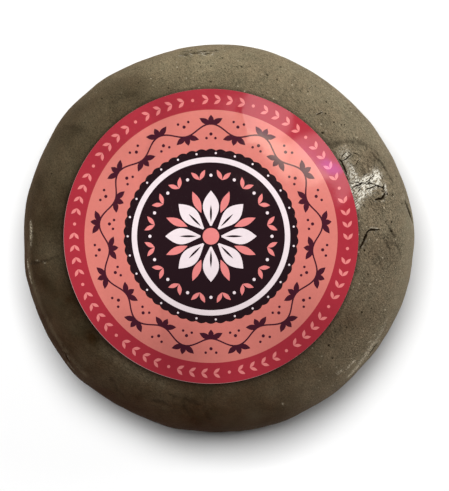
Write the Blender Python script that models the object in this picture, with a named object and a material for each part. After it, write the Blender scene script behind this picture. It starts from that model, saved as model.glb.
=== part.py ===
"""A whole bloomy rind goat cheese: a soft, round-shouldered wheel with a paper label on its top.

The wheel is one solid. Its skin is laid out flat as a sheet of azimuth against run, cut finer
where it is cracked, and then wrapped round the wheel. Run is the distance over the rind from the
middle of the top, down the side to the foot. The label is a thin disc that follows the top.

Units are metres, with +Z up. The origin is on the flat foot, under the middle of the wheel.
Azimuth 0 is +X, and it grows towards +Y.
"""

import math
from collections import namedtuple

import bmesh
import bpy
from mathutils import Vector, geometry, noise

MM = 0.001

# Driving dimensions
WHEEL_RADIUS = 74.0 * MM  # at the belly, its widest level
WHEEL_HEIGHT = 51.5 * MM
FOOT_RADIUS = 59.0 * MM  # of the flat face that it rests on
CROWN_RADIUS = 56.0 * MM  # where the gentle dome of the top gives way to the shoulder
CROWN_TILT = math.radians(9.0)  # of the surface at the dome's edge
LABEL_RADIUS = 55.0 * MM
LABEL_THICKNESS = 0.3 * MM
LABEL_CENTRE = Vector((-2.1 * MM, 0.9 * MM))  # stuck on a little off the wheel's middle
REST_GAP = 0.3 * MM  # between the rind and the label

# What follows from them
CROWN_ARC = CROWN_RADIUS / math.sin(CROWN_TILT)
SHOULDER_ARC = (WHEEL_RADIUS - CROWN_RADIUS) / (1 - math.sin(CROWN_TILT))
CROWN_DROP = CROWN_ARC * (1 - math.cos(CROWN_TILT))
BELLY_HEIGHT = WHEEL_HEIGHT - CROWN_DROP - SHOULDER_ARC * math.cos(CROWN_TILT)
UNDERCUT = WHEEL_RADIUS - FOOT_RADIUS
CROWN_RUN = CROWN_ARC * CROWN_TILT
BELLY_RUN = CROWN_RUN + SHOULDER_ARC * (math.pi / 2 - CROWN_TILT)
FOOT_RUN = BELLY_RUN + math.pi / 2 * math.hypot(UNDERCUT, BELLY_HEIGHT) / math.sqrt(2)

# Fineness of the sheet
COLUMNS = 90
CAP_RUN = 10 * MM  # the middle of the top inside this run is one small face
CROWN_ROWS = 4
SHOULDER_ROWS = 12
LOWER_ROWS = 8
LABEL_SEGMENTS = 64
LABEL_RINGS = 4
SEAM_AZIMUTH = -90.0  # in degrees; the sheet's two ends meet on the smooth near side

# Slow swells round the side: how many, how high, and where the first crest is, in degrees
Swell = namedtuple("Swell", "count height crest")
SWELLS = (
    Swell(2, 0.25 * MM, -24),
    Swell(3, 0.38 * MM, -6),
    Swell(5, 0.46 * MM, 1),
)

# Soft upright folds that give the outline its corners
Fold = namedtuple("Fold", "azimuth height width")
FOLDS = (
    Fold(3, 0.5 * MM, 8),
    Fold(38, 0.3 * MM, 10),
    Fold(86, 0.3 * MM, 14),
    Fold(124, 0.5 * MM, 6),
    Fold(141, 0.4 * MM, 6),
    Fold(167, 0.4 * MM, 14),
    Fold(190, 0.8 * MM, 6),
    Fold(224, 1.3 * MM, 6),
    Fold(256, 1.2 * MM, 6),
    Fold(292, 0.8 * MM, 8),
    Fold(306, 1.0 * MM, 9),
    Fold(326, 0.5 * MM, 8),
    Fold(344, 0.5 * MM, 12),
)

# Shallow hollows of the rind: centre as azimuth and run, half sizes round and down, and depth
Hollow = namedtuple("Hollow", "azimuth run round_half down_half depth")
HOLLOWS = (
    Hollow(23, 62 * MM, 15 * MM, 7.5 * MM, 1.5 * MM),  # the sunken, wrinkled patch
    Hollow(2, 66 * MM, 9 * MM, 8 * MM, 0.7 * MM),
    Hollow(-14, 68 * MM, 12 * MM, 7 * MM, 0.5 * MM),
    Hollow(112, 66 * MM, 14 * MM, 9 * MM, 0.6 * MM),
    Hollow(184, 64 * MM, 12 * MM, 7 * MM, 0.5 * MM),
    Hollow(238, 72 * MM, 22 * MM, 10 * MM, 0.8 * MM),
    Hollow(158, 92 * MM, 18 * MM, 10 * MM, 0.8 * MM),
    Hollow(300, 90 * MM, 20 * MM, 12 * MM, 0.8 * MM),
    Hollow(60, 94 * MM, 20 * MM, 11 * MM, 0.7 * MM),
)

# Cracks and creases of the rind, each a route of (azimuth, run in mm), a half width and a depth
Groove = namedtuple("Groove", "route half_width depth")
CRACK_HALF_WIDTH = 0.8 * MM
CRACK_DEPTH = 0.7 * MM
CREASE_HALF_WIDTH = 1.5 * MM
CREASE_DEPTH = 0.5 * MM


def crack(*route):
    return Groove(route, CRACK_HALF_WIDTH, CRACK_DEPTH)


def crease(*route):
    return Groove(route, CREASE_HALF_WIDTH, CREASE_DEPTH)


GROOVES = (
    crack((-3.5, 54.2), (0.0, 55.8), (3.0, 56.8), (3.4, 58.0), (3.2, 60.6)),  # hook
    crack((33.0, 55.5), (29.0, 55.6), (25.0, 54.8)),  # along the label's edge
    crack((31.7, 56.2), (33.9, 58.4), (32.0, 60.0), (31.8, 57.8)),  # small loose flake
    crack((29.2, 62.0), (28.0, 60.0)),
    crack((20.7, 55.8), (20.8, 59.0), (20.7, 61.0), (21.8, 63.4), (23.2, 65.6)),
    crack((20.4, 61.6), (18.8, 63.4), (17.2, 66.8), (15.0, 67.2), (13.8, 65.0), (14.0, 62.4)),
    crack((11.0, 82.0), (8.5, 85.0), (6.2, 86.5)),  # on the brow of the side
    crease((38.0, 56.0), (35.5, 63.5), (29.0, 69.0), (22.5, 71.8), (17.5, 74.0)),
    crease((188.0, 60.5), (187.0, 67.0), (187.4, 76.0), (186.0, 84.0)),
    crease((101.0, 75.0), (96.0, 76.5), (90.0, 76.0)),
    crease((100.0, 79.5), (95.0, 79.0), (91.0, 80.0)),
    crease((214.0, 72.0), (221.0, 82.0), (223.0, 92.0)),
    crease((256.0, 80.0), (253.0, 88.0), (254.0, 97.0)),
    crease((322.0, 74.0), (316.0, 77.5), (311.0, 77.0)),
    crease((60.0, 84.0), (70.0, 90.0), (84.0, 88.0)),
    crease((140.0, 86.0), (150.0, 93.0), (163.0, 95.0)),
    crease((272.0, 94.0), (284.0, 90.0), (298.0, 93.0)),
)

# Where the sheet is cut finer: azimuths from and to, runs from and to, and how many times it is halved
Finer = namedtuple("Finer", "low_azimuth high_azimuth low_run high_run halvings")
FINER = (
    Finer(-9, 42, 51 * MM, 77 * MM, 2),
    Finer(4, 14, 77 * MM, 89 * MM, 1),
    Finer(86, 104, 70 * MM, 83 * MM, 1),
    Finer(182, 193, 57 * MM, 87 * MM, 1),
)

# The gentle unevenness of a hand-turned wheel
UNEVEN_HEIGHT = 0.35 * MM
UNEVEN_SIZE = 17 * MM
UNEVEN_FROM_RUN = 57 * MM  # it is smooth under the label
UNEVEN_FULL_RUN = 64 * MM


def clear_scene():
    for obj in list(bpy.data.objects):
        bpy.data.objects.remove(obj)


def smooth_step(low, high, value):
    share = min(max((value - low) / (high - low), 0.0), 1.0)
    return share * share * (3 - 2 * share)


def crown_height(radius):
    """Height of the even surface at a radius on the top, which may reach a little over the shoulder."""
    if radius <= CROWN_RADIUS:
        return WHEEL_HEIGHT - CROWN_ARC + math.sqrt(CROWN_ARC**2 - radius**2)
    reach = (radius - CROWN_RADIUS) / SHOULDER_ARC + math.sin(CROWN_TILT)
    return BELLY_HEIGHT + SHOULDER_ARC * math.sqrt(1 - reach**2)


def profile(run):
    """Radius and height of the even surface at a run, and how far its normal leans out from +Z."""
    if run <= CROWN_RUN:
        lean = run / CROWN_ARC
        return CROWN_ARC * math.sin(lean), crown_height(CROWN_ARC * math.sin(lean)), lean
    if run <= BELLY_RUN:
        lean = CROWN_TILT + (run - CROWN_RUN) / SHOULDER_ARC
        radius = CROWN_RADIUS + SHOULDER_ARC * (math.sin(lean) - math.sin(CROWN_TILT))
        return radius, BELLY_HEIGHT + SHOULDER_ARC * math.cos(lean), lean
    turn = math.pi / 2 * (run - BELLY_RUN) / (FOOT_RUN - BELLY_RUN)
    radius = FOOT_RADIUS + UNDERCUT * math.cos(turn)
    lean = math.pi / 2 + math.atan2(math.sin(turn) / BELLY_HEIGHT, math.cos(turn) / UNDERCUT)
    return radius, BELLY_HEIGHT * (1 - math.sin(turn)), lean


def on_rind(azimuth, run, lift=0.0):
    """The point at an azimuth in degrees and a run, lifted along the even surface's normal."""
    radius, height, lean = profile(run)
    radius += lift * math.sin(lean)
    height += lift * math.cos(lean)
    angle = math.radians(azimuth)
    return Vector((radius * math.cos(angle), radius * math.sin(angle), height))


def turn_between(azimuth, other):
    """The signed angle from one azimuth to another, the short way round, in degrees."""
    return (other - azimuth + 180) % 360 - 180


def side_relief(azimuth, run):
    """Swells and folds, which are strongest at the belly and leave the top and the foot as they are."""
    lean = profile(run)[2]
    height = sum(
        swell.height * math.cos(swell.count * math.radians(azimuth - swell.crest))
        for swell in SWELLS
    )
    for fold in FOLDS:
        off = abs(turn_between(azimuth, fold.azimuth)) / fold.width
        height += fold.height * max(0.0, 1 - off)
    return height * max(0.0, math.sin(lean)) ** 1.5


def hollow_relief(azimuth, run):
    depth = 0.0
    radius = profile(run)[0]
    for hollow in HOLLOWS:
        away = math.radians(turn_between(azimuth, hollow.azimuth)) * radius
        reach = math.hypot(away / hollow.round_half, (run - hollow.run) / hollow.down_half)
        depth += hollow.depth * (1 - smooth_step(0.45, 1.25, reach))
    return -depth


def groove_relief(point, routes):
    """The deepest cut of the grooves at a point of the even surface."""
    depth = 0.0
    for groove, places in routes:
        for start, end in zip(places, places[1:]):
            nearest, share = geometry.intersect_point_line(point, start, end)
            nearest = start.lerp(end, min(max(share, 0.0), 1.0))
            off = (point - nearest).length / groove.half_width
            depth = max(depth, groove.depth * (1 - off))
    return -depth


def uneven_relief(point, run):
    strength = smooth_step(UNEVEN_FROM_RUN, UNEVEN_FULL_RUN, run)
    strength *= 1 - smooth_step(FOOT_RUN - 12 * MM, FOOT_RUN, run)
    return UNEVEN_HEIGHT * strength * noise.noise(point / UNEVEN_SIZE)


def groove_routes():
    """Each groove with its route as points of the even surface."""
    return [
        (groove, [on_rind(azimuth, run * MM) for azimuth, run in groove.route])
        for groove in GROOVES
    ]


def rows_of_runs():
    """The runs of the sheet's rows, from the cap down to the foot."""
    stretches = (
        (CAP_RUN, CROWN_RUN, CROWN_ROWS),
        (CROWN_RUN, BELLY_RUN, SHOULDER_ROWS),
        (BELLY_RUN, FOOT_RUN, LOWER_ROWS),
    )
    runs = [CAP_RUN]
    for start, end, count in stretches:
        runs += [start + (end - start) * step / count for step in range(1, count + 1)]
    return runs


def flat_sheet():
    """The skin laid out flat, with azimuth in degrees along X and run along Y."""
    sheet = bmesh.new()
    rows = [
        [
            sheet.verts.new((SEAM_AZIMUTH + 360 * column / COLUMNS, run, 0))
            for column in range(COLUMNS + 1)
        ]
        for run in rows_of_runs()
    ]
    for upper, lower in zip(rows, rows[1:]):
        for column in range(COLUMNS):
            corners = (upper[column], lower[column], lower[column + 1], upper[column + 1])
            sheet.faces.new(corners)
    return sheet


def cut_finer(sheet, zone):
    """Halves the edges of every face of the sheet whose middle lies in the zone."""
    for _ in range(zone.halvings):
        chosen = set()
        for face in sheet.faces:
            azimuth, run, _ = face.calc_center_median()
            inside = zone.low_azimuth < azimuth < zone.high_azimuth
            if inside and zone.low_run < run < zone.high_run:
                chosen.update(face.edges)
        bmesh.ops.subdivide_edges(sheet, edges=list(chosen), cuts=1, use_grid_fill=True)


def wrap(sheet):
    """Moves each point of the flat sheet to its place on the uneven rind."""
    routes = groove_routes()
    for vert in sheet.verts:
        azimuth, run = vert.co.x, min(vert.co.y, FOOT_RUN)
        even = on_rind(azimuth, run)
        lift = side_relief(azimuth, run) + hollow_relief(azimuth, run)
        lift += groove_relief(even, routes) + uneven_relief(even, run)
        vert.co = on_rind(azimuth, run, lift)


def close(sheet):
    """Sews the seam, and closes the small cap on the top and the flat foot."""
    bmesh.ops.remove_doubles(sheet, verts=sheet.verts, dist=0.01 * MM)
    bmesh.ops.holes_fill(sheet, edges=[e for e in sheet.edges if e.is_boundary], sides=0)
    bmesh.ops.triangulate(sheet, faces=sheet.faces)
    bmesh.ops.recalc_face_normals(sheet, faces=sheet.faces)


def matte(name, colour, roughness):
    material = bpy.data.materials.new(name)
    material.use_nodes = True
    shader = material.node_tree.nodes["Principled BSDF"]
    shader.inputs["Base Color"].default_value = (*colour, 1.0)
    shader.inputs["Roughness"].default_value = roughness
    shader.inputs["Metallic"].default_value = 0.0
    return material


def add_object(name, mesh, material):
    mesh.materials.append(material)
    mesh.shade_smooth()
    mesh.set_sharp_from_angle(angle=math.radians(40))
    obj = bpy.data.objects.new(name, mesh)
    bpy.context.scene.collection.objects.link(obj)
    return obj


def make_wheel():
    sheet = flat_sheet()
    for zone in FINER:
        cut_finer(sheet, zone)
    wrap(sheet)
    close(sheet)
    mesh = bpy.data.meshes.new("cheese_wheel")
    sheet.to_mesh(mesh)
    sheet.free()
    return add_object("cheese_wheel", mesh, matte("bloomy_rind", (0.17, 0.135, 0.085), 0.85))


def make_label():
    """A disc that follows the top, given its thickness by a Solidify modifier."""
    disc = bmesh.new()
    bmesh.ops.create_circle(
        disc, cap_ends=True, cap_tris=True, segments=LABEL_SEGMENTS, radius=LABEL_RADIUS
    )
    spokes = [e for e in disc.edges if not e.is_boundary]
    bmesh.ops.subdivide_edges(disc, edges=spokes, cuts=LABEL_RINGS - 1, use_grid_fill=True)
    for vert in disc.verts:
        spot = vert.co.xy + LABEL_CENTRE
        vert.co = Vector((*spot, crown_height(spot.length) + REST_GAP))
    bmesh.ops.triangulate(disc, faces=disc.faces)
    bmesh.ops.recalc_face_normals(disc, faces=disc.faces)
    mesh = bpy.data.meshes.new("paper_label")
    disc.to_mesh(mesh)
    disc.free()
    label = add_object("paper_label", mesh, matte("printed_paper", (0.62, 0.13, 0.12), 0.4))
    solidify = label.modifiers.new("thickness", "SOLIDIFY")
    solidify.thickness = LABEL_THICKNESS
    solidify.offset = 1.0
    return label


def centre(wheel, label):
    """Moves both pieces sideways, so that the origin is under the middle of the wheel's box."""
    corners = [Vector(corner) for corner in wheel.bound_box]
    middle = sum(corners, Vector()) / len(corners)
    for piece in (wheel, label):
        piece.location.xy = -middle.xy


def main():
    clear_scene()
    centre(make_wheel(), make_label())


main()
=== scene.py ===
# %% [markdown]
# # A bloomy rind goat cheese
#
# A bloomy rind is a skin of mould on a soft cheese. It is velvety and grey-brown, with small pits,
# soft folds and, where the cheese has dried, a few cracks. This lesson starts from a plain solid
# wheel with a plain disc on it, which hold the true sizes. It gives the wheel its skin and the disc
# its print. The solids are the frame: they are read and covered, and never moved or changed.

# %% Open the frame
import math
import random
from collections import namedtuple

import bmesh
import bpy
import numpy as np
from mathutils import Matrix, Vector, geometry, noise
from mathutils.bvhtree import BVHTree


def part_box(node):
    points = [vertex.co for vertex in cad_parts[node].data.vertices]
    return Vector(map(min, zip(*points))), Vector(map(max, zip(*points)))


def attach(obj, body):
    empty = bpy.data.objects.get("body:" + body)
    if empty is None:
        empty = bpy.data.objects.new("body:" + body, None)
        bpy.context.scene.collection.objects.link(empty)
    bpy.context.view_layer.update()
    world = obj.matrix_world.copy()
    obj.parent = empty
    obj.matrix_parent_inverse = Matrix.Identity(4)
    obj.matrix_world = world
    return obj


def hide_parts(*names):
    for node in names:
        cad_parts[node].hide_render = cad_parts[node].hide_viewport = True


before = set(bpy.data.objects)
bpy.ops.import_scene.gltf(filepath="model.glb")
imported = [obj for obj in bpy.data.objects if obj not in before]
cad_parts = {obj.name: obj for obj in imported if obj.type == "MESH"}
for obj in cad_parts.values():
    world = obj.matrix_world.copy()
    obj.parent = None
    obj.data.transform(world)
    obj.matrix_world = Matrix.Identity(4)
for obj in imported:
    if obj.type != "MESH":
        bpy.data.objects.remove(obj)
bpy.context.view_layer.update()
MM = 0.001
UP = Vector((0, 0, 1))
label_low, label_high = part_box("paper_label")
label_middle = (label_low + label_high) / 2
label_radius = (label_high.x - label_low.x) / 2
print("label", round(2 * label_radius / MM, 1), "mm across")

# %% [markdown]
# ## The camera
#
# The photograph was taken from straight above: the label shows as a true circle. A round thing of
# known size fixes the camera. The label's radius in pixels gives the scale, and its place in the
# picture says how far the camera stands off to the side. A long lens a metre up keeps the sides of
# the wheel from showing past its belly.

# %% The camera, straight above
PHOTO_WIDTH, PHOTO_HEIGHT = 449, 491
LABEL_MIDDLE_PX = (211.0, 236.3)
LABEL_RADIUS_PX = 147.4
CAMERA_RISE = 1.0  # metres above the label's rim
SENSOR = 36.0  # millimetres, across the picture's width

metres_per_px = label_radius / LABEL_RADIUS_PX
camera = bpy.data.objects.new("camera", bpy.data.cameras.new("camera"))
camera.location = (
    label_middle.x + (PHOTO_WIDTH / 2 - LABEL_MIDDLE_PX[0]) * metres_per_px,
    label_middle.y - (PHOTO_HEIGHT / 2 - LABEL_MIDDLE_PX[1]) * metres_per_px,
    label_low.z + CAMERA_RISE,
)
camera.data.sensor_fit = "HORIZONTAL"
camera.data.sensor_width = SENSOR
camera.data.lens = SENSOR * CAMERA_RISE / metres_per_px / PHOTO_WIDTH
bpy.context.scene.collection.objects.link(camera)
bpy.context.scene.camera = camera
print("lens", round(camera.data.lens), "mm")

# %% [markdown]
# ## Reading the wheel's form
#
# The skin needs far more points than the solid has, laid evenly. Cut a cheese, and the section
# past the label is nearly a half circle. So rays are cast from a ring inside the wheel: round the
# ring by azimuth, and in each section from straight up, over the shoulder, to straight down. The
# distances that they travel make a picture of the form, azimuth across and turn down. A Fourier
# blur takes the solid's flat facets out of it. A sheet laid over this picture has no pole and no
# seam to hide.

# %% Cast rays from a ring inside the wheel
RING_RADIUS = 47 * MM
RING_HEIGHT = 26 * MM
CAST_AZIMUTHS, CAST_TURNS = 480, 120
FACET_BLUR = 2.6 * MM
MEAN_RADIUS, SECTION_RADIUS = 66, 27  # millimetres, to turn steps of azimuth and turn into lengths

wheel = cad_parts["cheese_wheel"]
wheel_tree = BVHTree.FromObject(wheel, bpy.context.evaluated_depsgraph_get())


def directions(azimuth, turn):
    """Unit vectors out of the ring, for arrays of azimuth and turn from straight up, in radians."""
    side = np.sin(turn)
    return np.stack([side * np.cos(azimuth), side * np.sin(azimuth), np.cos(turn)], axis=-1)


def ring_points(azimuth):
    height = np.full_like(azimuth, RING_HEIGHT)
    return np.stack([RING_RADIUS * np.cos(azimuth), RING_RADIUS * np.sin(azimuth), height], axis=-1)


def cast_form():
    azimuth, turn = np.meshgrid(
        np.arange(CAST_AZIMUTHS) * 2 * np.pi / CAST_AZIMUTHS,
        (np.arange(CAST_TURNS) + 0.5) * np.pi / CAST_TURNS,
        indexing="ij",
    )
    starts = ring_points(azimuth).reshape(-1, 3)
    ways = directions(azimuth, turn).reshape(-1, 3)
    found = [wheel_tree.ray_cast(Vector(a), Vector(b))[3] for a, b in zip(starts, ways)]
    return np.array(found).reshape(azimuth.shape)


def blur(picture, size):
    """A Gaussian blur of the form, its size in metres. A mirrored copy carries it past the ends."""
    whole = np.concatenate([picture, picture[:, ::-1]], axis=1)
    columns, rows = whole.shape
    across = np.fft.fftfreq(columns)[:, None] / (2 * np.pi * MEAN_RADIUS * MM / CAST_AZIMUTHS)
    down = np.fft.fftfreq(rows)[None, :] / (np.pi * SECTION_RADIUS * MM / CAST_TURNS)
    keep = np.exp(-2 * (np.pi * size) ** 2 * (across**2 + down**2))
    return np.fft.ifft2(np.fft.fft2(whole) * keep).real[:, : picture.shape[1]]


form = blur(cast_form(), FACET_BLUR)
print("rays travel", round(form.min() / MM, 1), "to", round(form.max() / MM, 1), "mm")

# %% [markdown]
# The picture of the form is read between its points by a weighted mean of the four round a place.
# Turned round, the same reading gives the height of the skin over any place seen from above.

# %% Read the form anywhere
FIRST_GUESS = 0.3  # radians: where the search for a turn starts
CLOSING_STEPS = 6


def form_at(azimuth, turn):
    """Distance from the ring to the smooth skin, for arrays of azimuth and turn in radians."""
    across = (azimuth / (2 * np.pi) * CAST_AZIMUTHS) % CAST_AZIMUTHS
    down = np.clip(turn / np.pi * CAST_TURNS - 0.5, 0, CAST_TURNS - 1.001)
    left, top = across.astype(int), down.astype(int)
    right = (left + 1) % CAST_AZIMUTHS
    a, b = across - left, down - top
    upper = form[left, top] * (1 - a) + form[right, top] * a
    lower = form[left, top + 1] * (1 - a) + form[right, top + 1] * a
    return upper * (1 - b) + lower * b


def skin_points(azimuth, turn):
    away = form_at(azimuth, turn)
    return ring_points(azimuth) + directions(azimuth, turn) * away[:, None]


def skin_height(x, y):
    """Height of the smooth skin over places outside the ring, found by closing in on the turn."""
    azimuth, out = np.arctan2(y, x), np.hypot(x, y) - RING_RADIUS
    turn = np.full_like(out, FIRST_GUESS)
    for _ in range(CLOSING_STEPS):
        turn = np.arcsin(np.clip(out / form_at(azimuth, turn), -1, 1))
    return RING_HEIGHT + form_at(azimuth, turn) * np.cos(turn)


def soft_step(low, high, value):
    share = np.clip((value - low) / (high - low), 0, 1)
    return share * share * (3 - 2 * share)


def noise_at(points, size, octaves=2, shift=0.0):
    """Fractal noise of about -1 to 1, whose lumps are as wide as size."""
    moved = points / size + shift
    return np.array([noise.fractal(p, 1.0, 2.0, octaves) for p in moved])


edge_height = skin_height(np.array([label_radius]), np.array([0.0]))[0]
print("at the label's edge the skin is", round(edge_height / MM, 1), "mm high")

# %% [markdown]
# ## How the paper lies
#
# The label was pasted on damp rind by hand. It follows the dome of the cheese, so its height is a
# shallow bowl, fitted by least squares to the plain label. Slow waves and three folds are too small
# to see by themselves, but glossy paper shows them in what it reflects.

# %% The height of the paper
WAVE_HEIGHT, WAVE_SIZE = 0.16 * MM, 15 * MM
FOLD_HEIGHT, FOLD_HALF_WIDTH = 0.05 * MM, 1.3 * MM
FOLDS = (  # upper and lower end in millimetres from the label's middle
    ((-22.6, 39.6), (-25.9, 22.6)),
    ((-19.0, -27.0), (-18.6, -35.0)),
    ((11.5, 47.0), (13.2, 40.1)),
)
PAPER_THICKNESS = 0.2 * MM
LABEL_DROP = 0.1 * MM  # the paper lies this much lower than the plain label's face
FITTED_REACHES = np.linspace(0.05, 0.98, 12)  # shares of the label's radius
FITTED_AZIMUTHS = 36

label_tree = BVHTree.FromObject(
    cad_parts["paper_label"], bpy.context.evaluated_depsgraph_get()
)


def label_bowl():
    """Fits z = a + b x + c y + d (x2 + y2) to the plain label's face."""
    found = []
    for reach in FITTED_REACHES * label_radius:
        for at in np.arange(FITTED_AZIMUTHS) * math.tau / FITTED_AZIMUTHS:
            x, y = reach * math.cos(at), reach * math.sin(at)
            spot = label_tree.ray_cast(label_middle + Vector((x, y, 1.0)), -UP)[0]
            found.append((x, y, spot.z))
    x, y, z = np.array(found).T
    terms = np.stack([np.ones_like(x), x, y, x * x + y * y], axis=-1)
    return np.linalg.lstsq(terms, z, rcond=None)[0]


bowl = label_bowl()


def distance_to_route(points, route):
    nearest = np.full(len(points), np.inf)
    for start, end in zip(route, route[1:]):
        along = end - start
        share = np.clip((points - start) @ along / (along @ along), 0, 1)
        off = np.linalg.norm(points - start - share[:, None] * along, axis=1)
        nearest = np.minimum(nearest, off)
    return nearest


def paper_height(x, y):
    """Height of the paper's face, for arrays of places in metres from the label's middle."""
    height = bowl[0] + bowl[1] * x + bowl[2] * y + bowl[3] * (x * x + y * y) - LABEL_DROP
    flat = np.stack([x, y, np.zeros_like(x)], axis=-1)
    height += WAVE_HEIGHT * noise_at(flat, WAVE_SIZE, octaves=1, shift=11.0)
    for ends in FOLDS:
        off = distance_to_route(flat[:, :2], np.array(ends) * MM) / FOLD_HALF_WIDTH
        height += FOLD_HEIGHT * np.exp(-(off**2))
    return height


print("the paper domes by", round(-bowl[3] * label_radius**2 / MM, 2), "mm")

# %% [markdown]
# ## Cracks, creases and scuffs
#
# A rind that dries and is handled gets marks of five kinds: cracks, pits, creases, pale scuffs,
# and rubs, where the bloom has gathered in a soft line. All are drawn as routes: a few points in
# millimetres, as seen from above or from the side, dropped onto the wheel. What matters for a
# point of the skin is its distance to the nearest stretch of a route. A sharp V of that distance
# is a crack, and a short one is a pit. A round dip is a crease. A scuff and a rub only change the
# colour. The distance is measured from a place shaken a little by noise, so that straight
# stretches come out ragged, as torn rind is.

# %% Drop places onto the wheel
Line = namedtuple("Line", "half_width depth lip route")
THIN_END, TAPER_LENGTH = 0.45, 2.2 * MM  # a line is thinner towards its ends


def from_above(*places):
    """Points of the smooth skin under places (x, y) in millimetres."""
    x, y = np.array(places, dtype=float).T * MM
    return np.stack([x, y, skin_height(x, y)], axis=-1)


def from_side(*places):
    """Points of the smooth skin at places (azimuth in degrees, height in millimetres)."""
    at, height = np.array(places, dtype=float).T
    at, rise = np.radians(at), height * MM - RING_HEIGHT
    turn = np.full_like(at, np.pi / 2)
    for _ in range(CLOSING_STEPS):
        turn = np.arccos(np.clip(rise / form_at(at, turn), -1, 1))
    return skin_points(at, turn)


def crack(route, half_width=0.36, depth=0.7, lip=0.14):
    return Line(half_width * MM, depth * MM, lip * MM, route)


def crease(route, half_width=1.1, depth=0.32):
    return Line(half_width * MM, depth * MM, 0.0, route)


def pit(x, y, half_width=0.4, depth=0.5):
    """A small hole: a crack hardly longer than it is wide, so that it is all end."""
    route = from_above((x, y), (x + 0.2, y - 0.15))
    return crack(route, 0.8 * half_width / THIN_END, depth, lip=0)


belly = from_side((0, RING_HEIGHT / MM))[0]
print("the belly reaches", round(belly[0] / MM, 1), "mm to the right")

# %% The cracks: a hook, the dried patch, the far edge, the sides
HOOK = (
    crack(from_above((52.4, -4.1), (53.7, -1.4), (54.7, 0.6), (55.2, 2.0), (55.8, 2.8)), 0.5, 0.9),
    crack(from_above((55.0, 1.5), (55.9, 2.8), (57.0, 3.2), (58.4, 3.0), (59.9, 3.3)), 0.42, 0.8),
)
FLAKE = (
    crack(
        from_above((44.9, 29.4), (45.8, 28.5), (46.5, 26.8), (47.4, 24.4), (47.8, 23.6)),
        0.48, 0.9,
    ),
    crack(from_above((45.6, 29.2), (46.2, 31.0), (47.0, 31.9), (47.8, 32.2)), 0.24, 0.4),
    crack(from_above((48.2, 32.4), (48.8, 31.8), (49.4, 31.2)), 0.42, 0.6),
    crack(from_above((49.4, 31.3), (48.1, 30.2), (46.6, 29.1), (45.8, 28.8)), 0.34, 0.6),
    crack(from_above((50.0, 32.2), (50.8, 31.7), (51.8, 31.4)), 0.34, 0.5),
    crack(from_above((50.2, 31.9), (49.9, 30.9), (49.5, 30.1)), 0.2, 0.3),
    crack(from_above((52.4, 29.5), (51.7, 28.5), (51.2, 27.4)), 0.27, 0.4),
    crack(from_above((47.2, 23.0), (47.8, 22.2)), 0.5, 0.5),
)
NET = (
    crack(
        from_above((49.9, 18.8), (51.1, 19.6), (52.2, 19.9), (53.3, 20.6), (54.4, 20.6)),
        0.37, 0.7,
    ),
    crack(
        from_above((54.4, 20.6), (55.1, 20.1), (56.2, 20.8), (57.1, 20.4), (58.3, 19.8)),
        0.4, 0.8,
    ),
    crack(from_above((58.1, 19.9), (59.4, 19.7), (60.5, 19.3), (61.5, 19.1)), 0.46, 0.9),
    crack(
        from_above((49.9, 21.2), (51.0, 20.6), (51.9, 20.9), (52.6, 20.5), (53.2, 20.4)),
        0.3, 0.4,
    ),
    crack(from_above((54.4, 20.7), (55.8, 21.5), (57.2, 22.8), (58.0, 23.8)), 0.25, 0.4),
    crack(from_above((54.6, 18.4), (56.2, 18.7), (57.6, 19.1), (58.7, 19.7)), 0.3, 0.45),
    crack(from_above((51.9, 17.3), (52.9, 18.5), (52.4, 19.0)), 0.3, 0.5),
    crack(from_above((52.7, 18.9), (53.0, 18.4), (53.4, 17.8)), 0.36, 0.5),
    crack(from_above((62.0, 20.4), (61.5, 19.2), (61.6, 18.4), (61.9, 17.6)), 0.46, 0.8),
    crack(from_above((60.7, 17.7), (61.6, 17.4)), 0.36, 0.5),
    crack(
        from_above((62.4, 17.1), (61.7, 15.7), (61.0, 14.9), (59.7, 14.7), (58.5, 14.5)),
        0.56, 1.0,
    ),
    crack(from_above((60.9, 23.4), (61.5, 21.9)), 0.34, 0.5),
)
BROW = (
    crack(
        from_above((70.4, 13.7), (71.2, 12.0), (71.9, 10.2), (72.6, 8.4), (73.1, 6.4)),
        1.2, 1.4, 0.05,
    ),
)
FAR_EDGE = (
    crack(from_above((-14.8, 70.5), (-13.0, 70.8), (-11.6, 70.8)), 0.62, 1.0, 0.06),
    crack(from_above((-13.8, 69.1), (-12.6, 69.2), (-11.5, 69.1)), 0.76, 1.3, 0.10),
    crack(from_above((-11.0, 69.4), (-9.4, 69.9), (-7.7, 69.8)), 0.8, 1.4, 0.08),
    crack(from_above((-7.7, 70.5), (-6.1, 70.7), (-4.6, 70.4)), 0.66, 1.1, 0.06),
    crack(from_above((-5.7, 69.3), (-4.4, 69.6), (-3.1, 69.5)), 0.66, 1.1, 0.10),
    crack(from_above((-3.2, 70.7), (-0.9, 70.9)), 0.56, 0.8, 0.06),
    crack(from_above((-10.4, 71.3), (-8.8, 71.4)), 0.5, 0.7, 0.06),
)
SMALL_CRACKS = (
    crack(from_above((36.6, 46.4), (37.6, 46.7), (38.6, 47.2)), 0.32, 0.5),
    crack(from_above((33.7, 56.1), (34.9, 57.2)), 0.26, 0.4),
    crack(from_above((60.2, -39.2), (59.0, -40.8), (57.7, -42.6), (56.2, -44.7)), 0.6, 0.8),
    crack(from_above((-58.3, -43.0), (-57.6, -44.9), (-56.4, -47.2)), 0.5, 0.7),
    crack(from_side((212, 17), (215, 18.5), (218, 18), (222, 19.5)), 0.4, 0.6),
    crack(from_side((302, 14), (304, 15.5), (308, 15), (310, 16.4)), 0.36, 0.5),
    crack(from_side((72, 20), (75, 18.6), (78, 19.4), (82, 18.2)), 0.36, 0.5),
    crack(from_side((143, 24), (145, 22), (146, 19)), 0.4, 0.5),
)
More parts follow.
